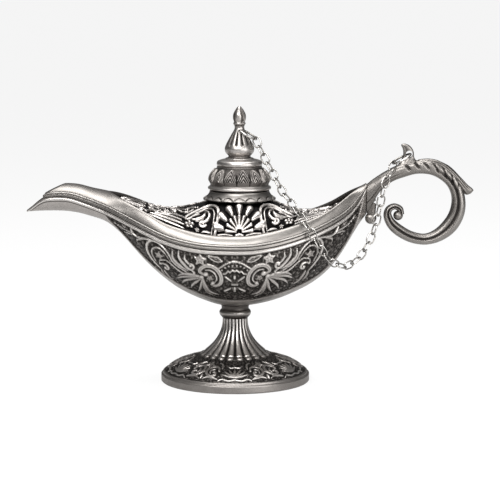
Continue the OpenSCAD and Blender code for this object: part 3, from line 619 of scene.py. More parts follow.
def deck():
    """The carved deck inside the rim, which climbs from it to the neck."""
    x = np.arange(-DECK_END_X, DECK_END_X + 0.1, 0.28)
    # Places across, closest together at both edges
    v = np.sin(math.pi / 2 * np.linspace(-1, 1, 341))
    w = np.maximum(0.5, half_width(x) * fair(OPENING, x) - DECK_GAP)
    edge = HULL_Z + flowing(RIM, x) - 1.2
    top = HULL_Z + flowing(RIDGE, x)
    y = w[:, None] * v
    z = edge[:, None] + (top - edge)[:, None] * np.sqrt(np.clip(1 - v * v, 0, 1))
    base = np.stack([np.broadcast_to(x[:, None], y.shape), y, z], -1)
    up = np.cumsum(np.linalg.norm(np.diff(base, axis=1, prepend=base[:, :1]), axis=2), 1)
    up = np.minimum(up, up[:, -1:] - up)
    out = normals(base)
    out *= np.sign(out[..., 2].mean())
    reach = np.abs(base[..., 0] - LID_X)
    lift = up * (0.72 + 0.28 * swell(reach, 12, 26))
    carving, sunk, proud = deck_carving(), 1.35, 0.3
    relief = np.clip(carving.read(reach, lift) - sunk, -1.3, proud)
    wear_and_shade = carving.rubbed_and_shaded(reach, lift, 1.4) * 1.05 - 0.05
    low = base + out * relief[..., None]
    around = np.hypot(base[..., 0] - LID_X, y)
    dipped = np.minimum(low[..., 2], NECK_LOW[2] - 0.05)
    low[..., 2] = np.where(around < NECK_DIP_R, dipped, low[..., 2])
    inner = base - out * DECK_WALL
    inner[..., 1] = y * (1 - 0.9 / w)[:, None]
    inner[..., 2] = np.minimum(z - 1.7, low[..., 2] - 0.3)
    middle = (around[:-1, :-1] + around[1:, 1:]) / 2
    return walls("carved_deck", low, inner, np.clip(wear_and_shade, 0, 1), middle > NECK_HIDE_R)


# Turned and carved pieces round the axes

FLUTES, SECTORS, SECTOR_W, FOOT_SUNK = 22, 6, 26, 0.5


def foot_carving():
    """One of six sectors of the foot's cone: mm across the sector, mm from the band inwards."""
    r = Relief(SECTOR_W, 22, 0.12)
    high = 0.55
    # Palmette on the sectors' joint, leaves round the C-scroll, and a bud in the middle
    r.leaves([
        [0.2, 3.4, 0, 9.6, 0, 0.7], [0.2, 3.4, 2.6, 9.4, 0, 0.65], [0.2, 3.4, 4.4, 7.6, 0, 0.6],
        [0.2, 3.4, 5.2, 5.4, 0, 0.55], [6.6, 2.4, 12.2, 2.2, 0.2, 0.75], [5.8, 10, 8.6, 15, 0.2, 0.7],
        [9.6, 12, 12.6, 15.6, -0.2, 0.65], [13, 11, 13, 16, 0, 0.8]], high, 0.2)
    r.strokes([
        ([[0, 2.2], [2.4, 1.6], [4.6, 2.4], [6, 1.4]], [0.4, 0.5, 0.25]),
        ([[0, 11.6], [2.2, 11], [3.8, 12.6]], [0.4, 0.45, 0.2]),
        ([[13, 2.4], [13, 4.6]], [0.4, 0.6, 0.3])], high)
    r.stroke([[6.8, 8], [7.4, 10.6], [10, 11.6], [12, 9.6], [12, 6.4], [10, 4.2], [8, 4.8], [8, 6.6]],
             [0.45, 0.8, 0.75, 0.5], high, 0.2)
    r.stroke([[9, 9.2], [10.4, 8], [10.2, 6]], [0.3, 0.45, 0.3], 0.45)
    r.bead(8.6, 6.8, 0.8, high)
    r.bead(13, 6.8, 0.7, high)
    # Only one half is drawn, and the other mirrors it
    r.h = np.maximum(r.h, r.h[::-1])
    r.grain(0.8, 0.07, 9)
    return r


def foot():
    """The foot: plain band, carved cone and fluted stem, hollow underneath."""
    cone_z, band_z, wall, stem_r = 12.9, 3.5, 2.2, 5.6
    cone = curve([[FOOT_R - 0.9, band_z + 0.9], [FOOT_R * 0.82, 8.2], [FOOT_R * 0.59, 10.8],
                  [FOOT_R * 0.42, cone_z]], 24)
    u = np.linspace(0, 1, 90)[1:]
    stem = np.stack([stem_r + (FOOT_R * 0.42 - stem_r) * (1 - u) ** 2.3,
                     cone_z + (FOOT_H - cone_z) * (0.02 * (1 - u) + u)], 1)
    band = spaced([[FOOT_R - wall, 0.0], [FOOT_R - 0.35, 0.0], [FOOT_R, 0.35], [FOOT_R, band_z - 0.3],
                   [FOOT_R - 0.25, band_z], [FOOT_R - 0.8, band_z + 0.1],
                   [FOOT_R - 0.95, band_z + 0.45]], 0.35)
    hollow = spaced([[ROD_BORE_R, FOOT_H], [ROD_BORE_R, cone_z - wall], [FOOT_R * 0.42, cone_z - wall],
                     [FOOT_R * 0.59, 10.8 - wall], [FOOT_R * 0.8, 8.2 - wall],
                     [FOOT_R - wall - 0.8, band_z - 0.4]], 3.0)
    seen = np.concatenate([band, spaced(np.concatenate([cone, stem]), 0.22)])
    start, stem_end = along(seen)[[len(band), -1]]
    cone_end = start + along(cone)[-1]
    carving = foot_carving()

    def carve(theta, s):
        sector = np.mod(theta / TURN * SECTORS + 0.5, 1) * SECTOR_W
        across, inward = np.minimum(sector, SECTOR_W - sector), s - start - 0.3
        on_cone = swell(s, start + 0.5, start + 0.8) * (1 - swell(s, cone_end - 1.2, cone_end + 0.4))
        wave = np.abs(np.cos(FLUTES * theta / 2))
        flute_start = cone_end - 2.6 * wave ** 0.5
        on_stem = swell(s, flute_start, flute_start + 0.9) * (s < stem_end + 0.01)
        deep = 0.95 - 0.35 * swell(s, cone_end, stem_end)
        relief = ((carving.read(across, inward) - FOOT_SUNK) * on_cone * (1 - on_stem)
                  + on_stem * deep * (wave ** 0.55 - 0.85))
        wear_and_shade = (carving.rubbed_and_shaded(across, inward, 0.6) * on_cone * (1 - on_stem)
               + on_stem * (0.02 + 0.86 * swell(wave, 0.25, 0.95))
               + np.clip(1 - on_cone - on_stem, 0, 1) * 0.52 * (s < stem_end))
        return relief, np.clip(wear_and_shade, 0, 1)

    return turned("foot_casting", np.concatenate([seen, hollow]), 0, 0, carve, 1100)


def stem_ring():
    """Turned collar between the foot and the hull."""
    r, h = STEM_BEAD_R, 6.0
    side = curve([[5.6, 0.0], [6.1, 0.5], [6.7, 1.2], [r, 2.1], [r, 2.9], [6.7, 3.6], [6.2, 4.1],
                  [6.15, 5], [6.4, h]], 8)

    def carve(theta, s):
        return 0 * s * theta, np.clip(0.32 + 0.6 * bell(s, 3.0, 1.1) + 0 * theta, 0, 1)

    return turned("stem_ring", np.concatenate([side, [[ROD_BORE_R, h], [ROD_BORE_R, 0.0]]]), 0, FOOT_H,
                  carve, 160)


SCALLOPS, NECK_BORE_R = 18, 11.0


def neck_flare():
    """Flared collar round the neck, with a row of scallops at its foot."""
    low_r, h = NECK_HIGH[1], NECK_HIGH[2] - NECK_LOW[2]
    high_r = low_r * 26.8 / 32.4
    u = np.linspace(0, 1, 60)
    side = np.stack([high_r + (low_r - high_r) * (1 - u) ** 1.7, 0.1 + (h - 0.1) * u], 1)
    outline = np.concatenate([[[low_r - 0.6, 0.0]], side,
                              [[high_r - 0.5, h], [NECK_BORE_R, h], [NECK_BORE_R, 0.0]]])

    def carve(theta, s):
        wave = np.abs(np.sin(SCALLOPS * theta / 2))
        arch = 0.9 + 1.9 * wave ** 0.75
        line = bell(s, arch, 0.22)
        lobe = (s < arch) * (s > 0.5)
        below = np.clip((arch - s) / 1.8, 0, 1)
        relief = -0.3 * line + lobe * 0.28 * np.sqrt(below) - 0.25 * (1 - lobe) * (s < 0.5)
        wear_and_shade = 0.8 - 0.75 * line + 0.1 * lobe - 0.5 * lobe * bell(wave, 0, 0.16)
        return relief * (s < 5.5), np.clip(wear_and_shade, 0, 1) * (s < 6.2)

    return turned("neck_flare", outline, LID_X, NECK_LOW[2], carve, 720)


PETALS, FINIAL_SCREW_R = 14, 1.65


def lid_casting():
    """Lid: petal drum between a flange under it and a rounded flange on top."""
    r, h = LID_HIGH[1], LID_HIGH[2] - LID_LOW[2]
    t = r * 20.4 / 28.4
    u = np.linspace(0, 1, 41)
    drum = spaced(np.stack([t - 0.8 + (r - t + 0.5) * np.cos(math.pi / 2 * np.abs(u - 0.32) / 0.76),
                            2.4 + (h - 6.2) * u], 1), 0.16)
    lower = spaced(curve([[r - 1.9, 0.0], [r - 1.3, 0.35], [r - 0.35, 0.45], [r - 0.02, 0.95],
                          [r - 0.2, 1.6], [r - 0.9, 1.95], [r - 1.0, 2.3]], 5), 0.2)
    upper = spaced(curve([[t - 0.9, h - 3.9], [t - 0.35, h - 3.6], [t, h - 2.9], [t - 0.02, h - 2.2],
                          [t - 0.5, h - 1.4], [t - 2.2, h - 0.75], [t - 3.6, h - 0.5],
                          [t - 4.0, h - 0.1], [t - 4.4, h]], 6), 0.2)
    seen = np.concatenate([lower, drum, upper])
    cavity_r, roof = t - 0.6, h - 3.6
    outline = np.concatenate([seen, [[FINIAL_SCREW_R, h], [FINIAL_SCREW_R, roof], [cavity_r, roof],
                                     [cavity_r, 0.0]]])
    start, end, last = along(seen)[[len(lower), len(lower) + len(drum) - 1, -1]]

    def carve(theta, s):
        side = 2 * np.abs(np.mod(PETALS * theta / TURN + 0.7, 1) - 0.5)
        up = (s - start) / (end - start)
        on = swell(s, start + 0.1, start + 0.3) * (1 - swell(s, end - 0.3, end - 0.05))
        ogive = 0.86 * np.sqrt(np.clip(1 - (side / 0.96) ** 2.2, 0, 1)) + 0.02
        inside = swell(ogive - up, 0, 0.03)
        nest = (0.66 - up) - 0.62 * side ** 1.25
        lined = np.cos(nest * TURN / 0.19) * inside * swell(nest, -0.36, -0.3) * swell(up, 0.16, 0.24)
        rim = bell(up, ogive, 0.035) * (side < 0.97)
        seam = bell(side, 1, 0.07) * (up < 0.62)
        relief = on * (-0.45 + 0.36 * inside + 0.2 * rim + 0.2 * lined - 0.3 * seam)
        wear_and_shade = 0.1 + 0.2 * inside + 0.4 * rim + 0.3 * lined - 0.25 * seam
        plain = 0.78 - 0.5 * bell(s, start, 0.3) - 0.6 * bell(s, end + 0.2, 0.35)
        return relief, np.clip(on * wear_and_shade + (1 - on) * plain, 0, 1) * (s < last + 0.3)

    return turned("lid_drum", outline, LID_X, LID_LOW[2], carve, 1000)


def finial():
    """Onion knob with a fluted shoulder, and a bud of four leaves over its neck."""
    onion_r, bud_r, height = BUD_HIGH[1], 2.5, BUD_HIGH[2] - BUD_LOW[2]
    onion = [[0.74, 0.0], [0.78, 0.015], [0.74, 0.035], [0.93, 0.095], [1.0, 0.16], [0.97, 0.215],
             [0.88, 0.275], [0.72, 0.36], [0.55, 0.45]]
    bud = [[1.0, 0.53], [0.86, 0.575], [0.9, 0.615], [1.12, 0.66], [1.0, 0.69], [1.16, 0.75],
           [1.14, 0.83], [0.86, 0.9], [0.45, 0.965], [0.04, 1.0]]
    side = spaced(curve([[onion_r * p, height * q] for p, q in onion]
                        + [[bud_r * p, height * q] for p, q in bud], 8), 0.16)
    r, up, theta = side[:, :1], side[:, 1:], angles(240)[None, :]
    z = up / height
    rib, petal = np.abs(np.cos(6 * theta)), np.abs(np.cos(2 * theta + 0.5))
    on_onion, on_bud = swell(z, 0.22, 0.27) * (1 - swell(z, 0.5, 0.55)), swell(z, 0.64, 0.7)
    relief = (on_onion * 0.75 * (rib ** 0.5 - 1) * swell(r, 1.5, 5)
              + on_bud * 0.55 * (petal ** 0.5 - 1) * swell(r, 0.2, 2))
    wear_and_shade = (0.72 - on_onion * 0.72 * (1 - swell(rib, 0.3, 0.85))
           - on_bud * 0.55 * (1 - swell(petal, 0.25, 0.8))
           - 0.45 * bell(z, 0.62, 0.025) - 0.4 * bell(z, 0.03, 0.02))
    r = np.maximum(r + relief, 0.03)
    rings = np.stack([LID_X + r * np.cos(theta), r * np.sin(theta), BUD_LOW[2] + up + 0 * theta], -1)
    return skin("onion_finial", rings, np.clip(wear_and_shade, 0, 1))


# Chain

def own_axes(node_name):
    """Middle and main axes of a CAD node's points, longest first, with its size along each, in mm."""
    co = np.array([v.co for v in frame["nodes"][node_name].data.vertices]) / MM
    middle = co.mean(0)
    axes = np.linalg.svd(co - middle, full_matrices=False)[2]
    reach = (co - middle) @ axes.T
    return middle + ((reach.max(0) + reach.min(0)) / 2) @ axes, axes, np.ptp(reach, axis=0)


def wire_loop(name, middle, axes, length, width, wire, around):
    """Link or jump ring: round wire bent into two half rounds, with straights between a link's."""
    r = (width - wire) / 2
    straight = (length - wire) / 2 - r
    t = math.pi * np.arange(around + (straight >= 0.05)) / around - math.pi / 2
    side = np.repeat([1, -1], len(t))
    t = np.concatenate([t, t + math.pi])
    ways = np.stack([np.cos(t), np.sin(t)], 1)
    path = r * ways + np.stack([side * straight, 0 * side], 1)
    c = angles(around)
    flat = path[:, None, :] + ways[:, None, :] * (wire / 2 * np.cos(c))[None, :, None]
    up = np.broadcast_to(wire / 2 * np.sin(c), flat.shape[:2])
    rings = middle + flat[..., :1] * axes[0] + flat[..., 1:] * axes[1] + up[..., None] * axes[2]
    # The wire's side inside the loop is darker, as its neighbours shade it
    return skin(name, rings, 0.12 + 0.8 * swell(np.cos(c), -0.7, 0.6), loop=True)


# Handle

# Rows of outer edge x, z, inner edge x, z and half-width as a share of the handle's, in mm
HANDLE_W = 6.6
HANDLE_EDGES = [
    [59, 89, 59, 75.8, 0.4], [62, 91.4, 61, 78.6, 0.46], [66.3, 94.2, 64.8, 85.4, 0.54],
    [71.5, 97, 70.2, 90, 0.52], [77, 98.9, 76.4, 92.4, 0.5], [82.5, 99.8, 82, 93.7, 0.5],
    [89.5, 99, 88.3, 93, 0.5], [96.5, 95, 93.6, 89.8, 0.5], [101.3, 89, 96.3, 85.9, 0.5],
    [103.3, 81.5, 97.1, 81.3, 0.5], [102.6, 74.5, 96, 76.2, 0.5], [99, 68, 93.2, 71.8, 0.49],
    [93, 63.6, 89.3, 68.2, 0.48], [86, 61.7, 85, 66.6, 0.46], [79, 62.6, 79.8, 67.6, 0.44],
    [73, 65.5, 75.4, 70, 0.42], [68.6, 69.5, 71.6, 73, 0.4], [66.6, 74.5, 70.2, 75.5, 0.37],
    [67.8, 78.6, 70.4, 76.9, 0.34], [71.4, 80.3, 71.6, 77.6, 0.32], [75, 78.8, 73, 76.9, 0.32],
    [75.9, 75.6, 73.4, 75.6, 0.32]]
THORN_EDGES = [
    [72.0, 96.4, 82.4, 97.6, 0.34], [73.6, 98.8, 81.2, 99.4, 0.26], [74.9, 101, 80.2, 101, 0.18],
    [75.2, 103.2, 79.9, 103.4, 0.165], [74.9, 105, 79.1, 105.2, 0.165],
    [74.3, 106.2, 77.6, 106.6, 0.15], [74.4, 106.9, 75.8, 107.25, 0.1]]
LEAF_EDGES = [
    [82, 100.1, 84, 96.4, 0.3], [86.6, 100.5, 88.2, 97.2, 0.33], [91.6, 99.6, 92.2, 95.6, 0.34],
    [96.6, 96.6, 96.2, 92.6, 0.33], [101, 92.2, 99.6, 88.8, 0.3], [104.2, 88.8, 102, 85.6, 0.24],
    [106.2, 87.2, 103.6, 84.2, 0.16], [106.9, 86.2, 105.4, 84.6, 0.08]]
TONGUE_EDGES = [
    [58.9, 82, 63.4, 80, 0.27], [58.6, 79, 63.2, 77.5, 0.27], [58.9, 76.4, 63, 75, 0.27],
    [60, 74.8, 62.4, 73.4, 0.22]]


def bar(name, edges, per_span, sides, section):
    """Bar swept between an outer and an inner edge; section gives relief and rub on its skin."""
    line = curve(edges, per_span)
    middle, reach = (line[:, :2] + line[:, 2:4]) / 2, (line[:, :2] - line[:, 2:4]) / 2
    s = along(middle)
    cos, sin = np.cos(angles(sides)), np.sin(angles(sides))
    c, w = (np.sign(v) * np.abs(v) ** 0.8 for v in (cos, sin))
    relief, wear_and_shade = section(s[:, None] / s[-1], c, w)
    half = line[:, 4:5] * HANDLE_W
    thick = np.linalg.norm(reach, axis=1, keepdims=True)
    w_grown = w * (1 + relief / np.maximum(half, 0.3) * np.abs(sin))
    c_grown = c * (1 + relief / np.maximum(thick, 0.3) * np.abs(cos))
    rings = np.stack([middle[:, :1] + reach[:, :1] * c_grown, half * w_grown,
                      middle[:, 1:] + reach[:, 1:] * c_grown], -1)
    return skin(name, rings, np.clip(wear_and_shade + 0 * relief, 0, 1))


def handle_section(u, c, w):
    """Skin of the arm and loop: a facet line on the arm, strokes over the top, a double strip."""
    arm = 1 - swell(u, 0.14, 0.2)
    strip = swell(u, 0.3, 0.38)
    top = swell(u, 0.17, 0.21) * (1 - swell(u, 0.4, 0.47))
    facet = bell(c, -0.25, 0.07) * arm
    groove = bell(c, -0.1, 0.2) * strip * swell(np.abs(w), 0.5, 0.8)
    stroke = np.cos(TURN * (u * 26 + 0.55 * c))
    cut = top * swell(-stroke, 0.35, 1.0) * swell(c, -0.5, 0.1)
    # The loop's outer side gets a painted highlight and the arm's underside painted shade
    wear_and_shade = (0.74 - 0.6 * facet - 0.85 * groove - 0.7 * cut
           + 0.12 * (strip * (c > 0.4) - arm * (c < -0.25)))
    return -0.3 * facet - 0.85 * groove - 0.7 * cut, wear_and_shade


def leaf_section(u, c, w):
    """Skin of a leaf: ribs fanned along it."""
    ribs = np.cos(TURN * (c * 1.6 + u * 1.3))
    fade = swell(u, 0.05, 0.25) * (1 - swell(u, 0.85, 1))
    return -0.28 * swell(ribs, 0.2, 1) * fade, 0.72 - 0.62 * swell(ribs, 0.3, 0.95) * fade


def thorn_section(u, c, w):
    """Skin of the thorn: a soft fold along it."""
    fold = bell(c, 0.35, 0.12) * swell(u, 0.1, 0.3) * (1 - swell(u, 0.8, 1))
    return -0.25 * fold, 0.75 - 0.6 * fold


def plain_section(u, c, w):
    """Smooth skin."""
    return 0 * u * c, 0.5


def ball(name, x, z, r, half):
    """Squashed ball at the eye of a volute."""
    v, a = np.linspace(-math.pi / 2 + 0.02, math.pi / 2 - 0.02, 25)[:, None], angles(48)
    rings = np.stack([x + r * np.cos(v) * np.cos(a), half * np.sin(v) + 0 * a,
                      z + r * np.cos(v) * np.sin(a)], -1)
    return skin(name, rings, 0.8)


def drill_hole(obj, x, z, r):
    """Cuts the jump ring's hole through a piece, front to back."""
    cutter = skin("hole_cutter", np.array([
        [[x + r * math.cos(t), y, z + r * math.sin(t)] for t in angles(40)]
        for y in (-HANDLE_W, HANDLE_W)]))
    cut = obj.modifiers.new("hole", "BOOLEAN")
    cut.operation = "DIFFERENCE"
    cut.object = cutter
    cut.solver = "EXACT"
    bpy.context.view_layer.update()
    shape = bpy.data.meshes.new_from_object(obj.evaluated_get(bpy.context.evaluated_depsgraph_get()))
    obj.modifiers.clear()
    obj.data = shape
    bpy.data.objects.remove(cutter)


RING_HOLE_X, RING_HOLE_Z, RING_HOLE_R = 77.9, 102.5, 1.6


def handle():
    """The handle casting: arm, loop with its volute, thorn with the ring's hole, leaf."""
    thorn = bar("handle_thorn", THORN_EDGES, 10, 40, thorn_section)
    drill_hole(thorn, RING_HOLE_X, RING_HOLE_Z, RING_HOLE_R)
    return joined("handle_casting", [
        bar("handle_bar", HANDLE_EDGES, 14, 72, handle_section), thorn,
        bar("handle_leaf", LEAF_EDGES, 12, 48, leaf_section),
        ball("volute_ball", 73.2, 74.9, 2.2, 2.5), ball("stern_ball", 60.9, 73.6, 2.6, 2.2),
        bar("stern_tongue", TONGUE_EDGES, 8, 32, plain_section)])


# Materials

def linear(code):
    """Linear colour from an sRGB hex value."""
    parts = [int(code[k:k + 2], 16) / 255 for k in (1, 3, 5)]
    return [p / 12.92 if p <= 0.04045 else ((p + 0.055) / 1.055) ** 2.4 for p in parts] + [1.0]


def add(tree, kind, inputs=None, **settings):
    """Adds one node; inputs give its sockets a value or another node's output."""
    made = tree.nodes.new(kind)
    for key, value in settings.items():
        setattr(made, key, value)
    for key, value in (inputs or {}).items():
        if isinstance(value, bpy.types.NodeSocket):
            tree.links.new(value, made.inputs[key])
        else:
            made.inputs[key].default_value = value
    return made


def stops(ramp, colours):
    """Fills a colour ramp from [place, hex] pairs."""
    elements = ramp.color_ramp.elements
    while len(elements) < len(colours):
        elements.new(1.0)
    for element, (place, code) in zip(elements, colours):
        element.position = place
        element.color = linear(code)


def cleared(owner):
    """Empty node tree of a new material or world."""
    owner.use_nodes = True
    owner.node_tree.nodes.clear()
    return owner.node_tree


# Colours from dark hollows to rubbed tops, roughness of hollows and tops, grain and its depth in mm
FINISHES = {
    # Zinc alloy casting, blackened and relieved by hand: dark hollows, silvery tops
    "antiqued_cast_zinc": ([[0.0, "#2c2a28"], [0.22, "#5f5b58"], [0.6, "#a19c98"], [1.0, "#d8d4d0"]],
                           (0.52, 0.3), 0.45, 0.05),
    # The same alloy brushed to a satin: soft broad highlights, dark only in its grooves
    "satin_brushed_zinc": ([[0.0, "#242221"], [0.35, "#56524f"], [0.75, "#85817d"], [1.0, "#a39f9b"]],
                           (0.5, 0.34), 0.3, 0.02),
    # Deep openwork left black, with only its tops rubbed
    "blackened_cast_zinc": ([[0.0, "#0e0d0d"], [0.3, "#2e2b2a"], [0.6, "#8d8884"], [1.0, "#cfcac6"]],
                            (0.5, 0.26), 0.45, 0.05),
    # Nickel plated wire: bright and smooth
    "nickel_plated_wire": ([[0.0, "#77746f"], [0.5, "#a19e9a"], [1.0, "#c2bfbb"]], (0.3, 0.16), 0.8,
                           0.004),
    # Turned steel of the rod, nut and screws: grey with faint marks
    "turned_steel": ([[0.0, "#57544f"], [0.5, "#8a8783"], [1.0, "#b5b2ae"]], (0.4, 0.3), 0.5, 0.01),
}
PATCH_MM = 5


def metal(name):
    """Finish of that name: dark patina in its hollows, darker still where painted shade is laid in,
    rubbed bright on its high places.
    """
    if name in bpy.data.materials:
        return bpy.data.materials[name]
    colours, rough, grain_mm, grain_depth = FINISHES[name]
    mat = bpy.data.materials.new(name)
    tree = cleared(mat)
    place = add(tree, "ShaderNodeTexCoord").outputs["Object"]
    worn = add(tree, "ShaderNodeAttribute", attribute_name="wear_and_shade").outputs["Fac"]
    for size, detail, roughness, share in ((PATCH_MM, 3.0, 0.5, 0.16), (grain_mm, 2.0, 0.6, 0.26)):
        noise = add(tree, "ShaderNodeTexNoise", {
            "Vector": place, "Scale": 1 / (size * MM), "Detail": detail,
            "Roughness": roughness}).outputs["Fac"]
        spread = add(tree, "ShaderNodeMath", {0: noise, 1: share, 2: -share / 2},
                     operation="MULTIPLY_ADD").outputs[0]
        worn = add(tree, "ShaderNodeMath", {0: worn, 1: spread}, operation="ADD").outputs[0]
    colour = add(tree, "ShaderNodeValToRGB", {"Fac": worn})
    stops(colour, colours)
    gloss = add(tree, "ShaderNodeMapRange", {"Value": worn, "To Min": rough[0], "To Max": rough[1]})
    grainy = add(tree, "ShaderNodeBump", {"Height": noise, "Strength": 0.5,
                                          "Distance": grain_depth * MM})
    shader = add(tree, "ShaderNodeBsdfPrincipled", {
        "Base Color": colour.outputs["Color"], "Metallic": 1.0, "Roughness": gloss.outputs[0],
        "Normal": grainy.outputs[0]})
    add(tree, "ShaderNodeOutputMaterial", {"Surface": shader.outputs[0]})
    return mat


def dress(obj, mat):
    """Gives an object one material."""
    obj.data.materials.clear()
    obj.data.materials.append(mat)


def fit(piece, node_name, finish, body="lamp"):
    """Finishes a piece and puts it on its body, in place of its CAD node."""
    dress(piece, metal(finish))
    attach(piece, body)
    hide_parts(node_name)


class LampSettings(bpy.types.PropertyGroup):
    """Sizes and levels that a user would change."""

    view_distance: bpy.props.FloatProperty(
        name="Camera distance", description="From the lamp's middle plane to the camera",
        default=0.89, min=0.3, max=3, unit="LENGTH")
    view_height: bpy.props.FloatProperty(
        name="Camera height", description="Above the floor", default=0.1802, min=0, max=1,
        unit="LENGTH")
    aim_height: bpy.props.FloatProperty(
        name="Aim height", description="Height that the camera looks at", default=0.0592, min=0,
        max=0.2, unit="LENGTH")
    view_x: bpy.props.FloatProperty(
        name="Camera side shift", description="Along the lamp's length", default=0.0067, min=-0.2,
        max=0.2, unit="LENGTH")
    focal: bpy.props.FloatProperty(
        name="Focal length", description="Millimetres on a 36 mm sensor", default=143.7, min=20,
        max=300)
    floor_colour: bpy.props.FloatVectorProperty(
        name="Floor colour", description="Paper under the lamp, as it lights the metal",
        subtype="COLOR", size=3, default=(0.55, 0.55, 0.55), min=0, max=1)
    key_watts: bpy.props.FloatProperty(
        name="Key light", description="Watts of the key light; the others keep their share of it",
        default=5.6, min=0, max=200)


class LAMP_OT_hull(bpy.types.Operator):
    """Builds the lower shell, the rim with the spout's roof, and the carved deck"""

    bl_idname = "lamp.hull"
    bl_label = "Hull"

    def execute(self, context):
        fit(lower_hull(), "lower_shell", "antiqued_cast_zinc")
        fit(upper_hull(), "upper_shell", "satin_brushed_zinc")
        fit(deck(), "deck_plate", "blackened_cast_zinc")
        return {"FINISHED"}


class LAMP_OT_foot(bpy.types.Operator):
    """Builds the foot with its fluted stem, and the collar over it"""

    bl_idname = "lamp.foot"
    bl_label = "Foot"

    def execute(self, context):
        fit(foot(), "foot", "antiqued_cast_zinc")
        fit(stem_ring(), "stem_collar", "satin_brushed_zinc")
        return {"FINISHED"}


class LAMP_OT_lid(bpy.types.Operator):
    """Builds the neck collar, the lid's drum and its finial"""

    bl_idname = "lamp.lid"
    bl_label = "Neck and lid"

    def execute(self, context):
        fit(neck_flare(), "neck_collar", "satin_brushed_zinc")
        fit(lid_casting(), "lid", "antiqued_cast_zinc", "lid")
        fit(finial(), "finial", "antiqued_cast_zinc", "lid")
        return {"FINISHED"}


class LAMP_OT_handle(bpy.types.Operator):
    """Builds the handle casting"""

    bl_idname = "lamp.handle"
    bl_label = "Handle"

    def execute(self, context):
        fit(handle(), "handle", "satin_brushed_zinc")
        return {"FINISHED"}


class LAMP_OT_chain(bpy.types.Operator):
    """Bends the links and the two jump rings from round wire"""

    bl_idname = "lamp.chain"
    bl_label = "Chain"

    def execute(self, context):
        body_of = {node: body for body, nodes in frame["record"]["behaviour"]["bodies"].items()
                   for node in nodes}
        for name in sorted(frame["nodes"]):
            is_link, is_ring = name.startswith("link_"), name in ("finial_ring", "handle_ring")
            if is_link or is_ring:
                middle, axes, (length, width, wire) = own_axes(name)
                piece = wire_loop("wire_" + name, middle, axes, length, width if is_link else length,
                                  wire, 14 if is_link else 18)
                fit(piece, name, "nickel_plated_wire", body_of[name])
        return {"FINISHED"}


class LAMP_OT_fixings(bpy.types.Operator):
    """Gives the rod, nut, screws and plug their turned steel"""

    bl_idname = "lamp.fixings"
    bl_label = "Fixings"

    def execute(self, context):
        for name in ("tie_rod", "tie_washer", "tie_nut", "finial_screw", "handle_screw", "lid_plug"):
            dress(frame["nodes"][name], metal("turned_steel"))
        return {"FINISHED"}


def paper(name, colour, lit):
    """Matt paper that shows as plain white with a soft shadow to the camera."""
    mat = bpy.data.materials.new(name)
    tree = cleared(mat)
    matt = add(tree, "ShaderNodeBsdfDiffuse", {"Color": list(colour) + [1.0]})
    white = add(tree, "ShaderNodeBsdfDiffuse", {"Color": [0.96, 0.96, 0.96, 1.0]})
    glow = add(tree, "ShaderNodeEmission", {"Color": [1.0, 1.0, 1.0, 1.0], "Strength": 1.0})
    shown = add(tree, "ShaderNodeMixShader", {0: lit, 1: white.outputs[0], 2: glow.outputs[0]})
    rays = add(tree, "ShaderNodeLightPath")
    mixed = add(tree, "ShaderNodeMixShader", {0: rays.outputs["Is Camera Ray"], 1: matt.outputs[0],
                                              2: shown.outputs[0]})
    add(tree, "ShaderNodeOutputMaterial", {"Surface": mixed.outputs[0]})
    return mat


def lamp_light(name, size, place, aim, watts):
    """Rectangular soft light at a place in metres, turned to what it lights."""
    data = bpy.data.lights.new(name, "AREA")
    data.shape = "RECTANGLE"
    data.size, data.size_y = size
    data.energy = watts
    obj = bpy.data.objects.new(name, data)
    obj.location = place
    obj.rotation_euler = (Vector(aim) - Vector(place)).to_track_quat("-Z", "Y").to_euler()
    bpy.context.scene.collection.objects.link(obj)


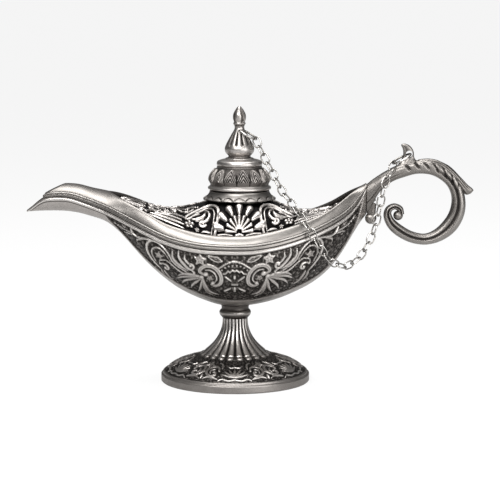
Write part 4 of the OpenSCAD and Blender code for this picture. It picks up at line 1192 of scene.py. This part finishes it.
class LAMP_OT_stage(bpy.types.Operator):
    """Sets the floor, the lights and the camera at the photograph's angle"""

    bl_idname = "lamp.stage"
    bl_label = "Stage"

    def execute(self, context):
        scene, settings = context.scene, context.scene.lamp
        mesh = bpy.data.meshes.new("floor")
        edge, paper_glow, sky_strength = 20.0, 0.85, 0.8
        mesh.from_pydata([(-edge, -edge, 0), (edge, -edge, 0), (edge, edge, 0), (-edge, edge, 0)], [],
                         [(0, 1, 2, 3)])
        floor = bpy.data.objects.new("floor", mesh)
        scene.collection.objects.link(floor)
        dress(floor, paper("pale_paper", settings.floor_colour, paper_glow))

        world = bpy.data.worlds.new("studio")
        tree = cleared(world)
        place = add(tree, "ShaderNodeTexCoord").outputs["Generated"]
        axes = add(tree, "ShaderNodeSeparateXYZ", {0: place})
        tone = add(tree, "ShaderNodeValToRGB", {"Fac": axes.outputs["Z"]})
        stops(tone, [[0.0, "#5a5a5a"], [0.5, "#6e6e6e"], [0.62, "#a8a8a8"], [0.8, "#e4e4e4"],
                     [1.0, "#f4f4f4"]])
        soft = add(tree, "ShaderNodeBackground", {"Color": tone.outputs["Color"],
                                                    "Strength": sky_strength})
        plain = add(tree, "ShaderNodeBackground", {"Color": [1, 1, 1, 1], "Strength": 1.0})
        rays = add(tree, "ShaderNodeLightPath")
        mixed = add(tree, "ShaderNodeMixShader", {0: rays.outputs["Is Camera Ray"],
                                                  1: soft.outputs[0], 2: plain.outputs[0]})
        add(tree, "ShaderNodeOutputWorld", {"Surface": mixed.outputs[0]})
        scene.world = world

        for name, size, place, aim, share in (
                ("key", (0.6, 0.35), (-0.16, -0.6, 0.55), (0, 0, 0.06), 1.0),
                ("fill", (0.6, 0.5), (0.5, -0.6, 0.2), (0, 0, 0.05), 0.625),
                ("top", (0.6, 0.4), (0.0, 0.05, 0.75), (0, 0, 0.06), 0.75)):
            lamp_light(name, size, place, aim, settings.key_watts * share)

        camera = bpy.data.cameras.new("camera")
        camera.lens = settings.focal
        camera.sensor_width = 36
        view = bpy.data.objects.new("camera", camera)
        view.location = (settings.view_x, -settings.view_distance, settings.view_height)
        aim = Vector((settings.view_x, 0, settings.aim_height)) - view.location
        view.rotation_euler = aim.to_track_quat("-Z", "Y").to_euler()
        scene.collection.objects.link(view)
        scene.camera = view
        scene.view_settings.view_transform = "Standard"
        return {"FINISHED"}


class LAMP_PT_panel(bpy.types.Panel):
    """Steps that build the lamp"""

    bl_label = "Oil lamp"
    bl_idname = "LAMP_PT_panel"
    bl_space_type = "VIEW_3D"
    bl_region_type = "UI"
    bl_category = "Lamp"

    def draw(self, context):
        for step in STEPS:
            self.layout.operator(step.bl_idname)
        for key in LampSettings.__annotations__:
            self.layout.prop(context.scene.lamp, key)


STEPS = (LAMP_OT_stage, LAMP_OT_foot, LAMP_OT_hull, LAMP_OT_lid, LAMP_OT_handle, LAMP_OT_chain,
         LAMP_OT_fixings)
CLASSES = (LampSettings,) + STEPS + (LAMP_PT_panel,)


def register():
    for cls in CLASSES:
        bpy.utils.register_class(cls)
    bpy.types.Scene.lamp = bpy.props.PointerProperty(type=LampSettings)


def unregister():
    del bpy.types.Scene.lamp
    for cls in reversed(CLASSES):
        bpy.utils.unregister_class(cls)


def main():
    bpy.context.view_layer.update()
    register()
    for step in STEPS:
        group, name = step.bl_idname.split(".")
        getattr(getattr(bpy.ops, group), name)()


if __name__ == "__main__":
    main()
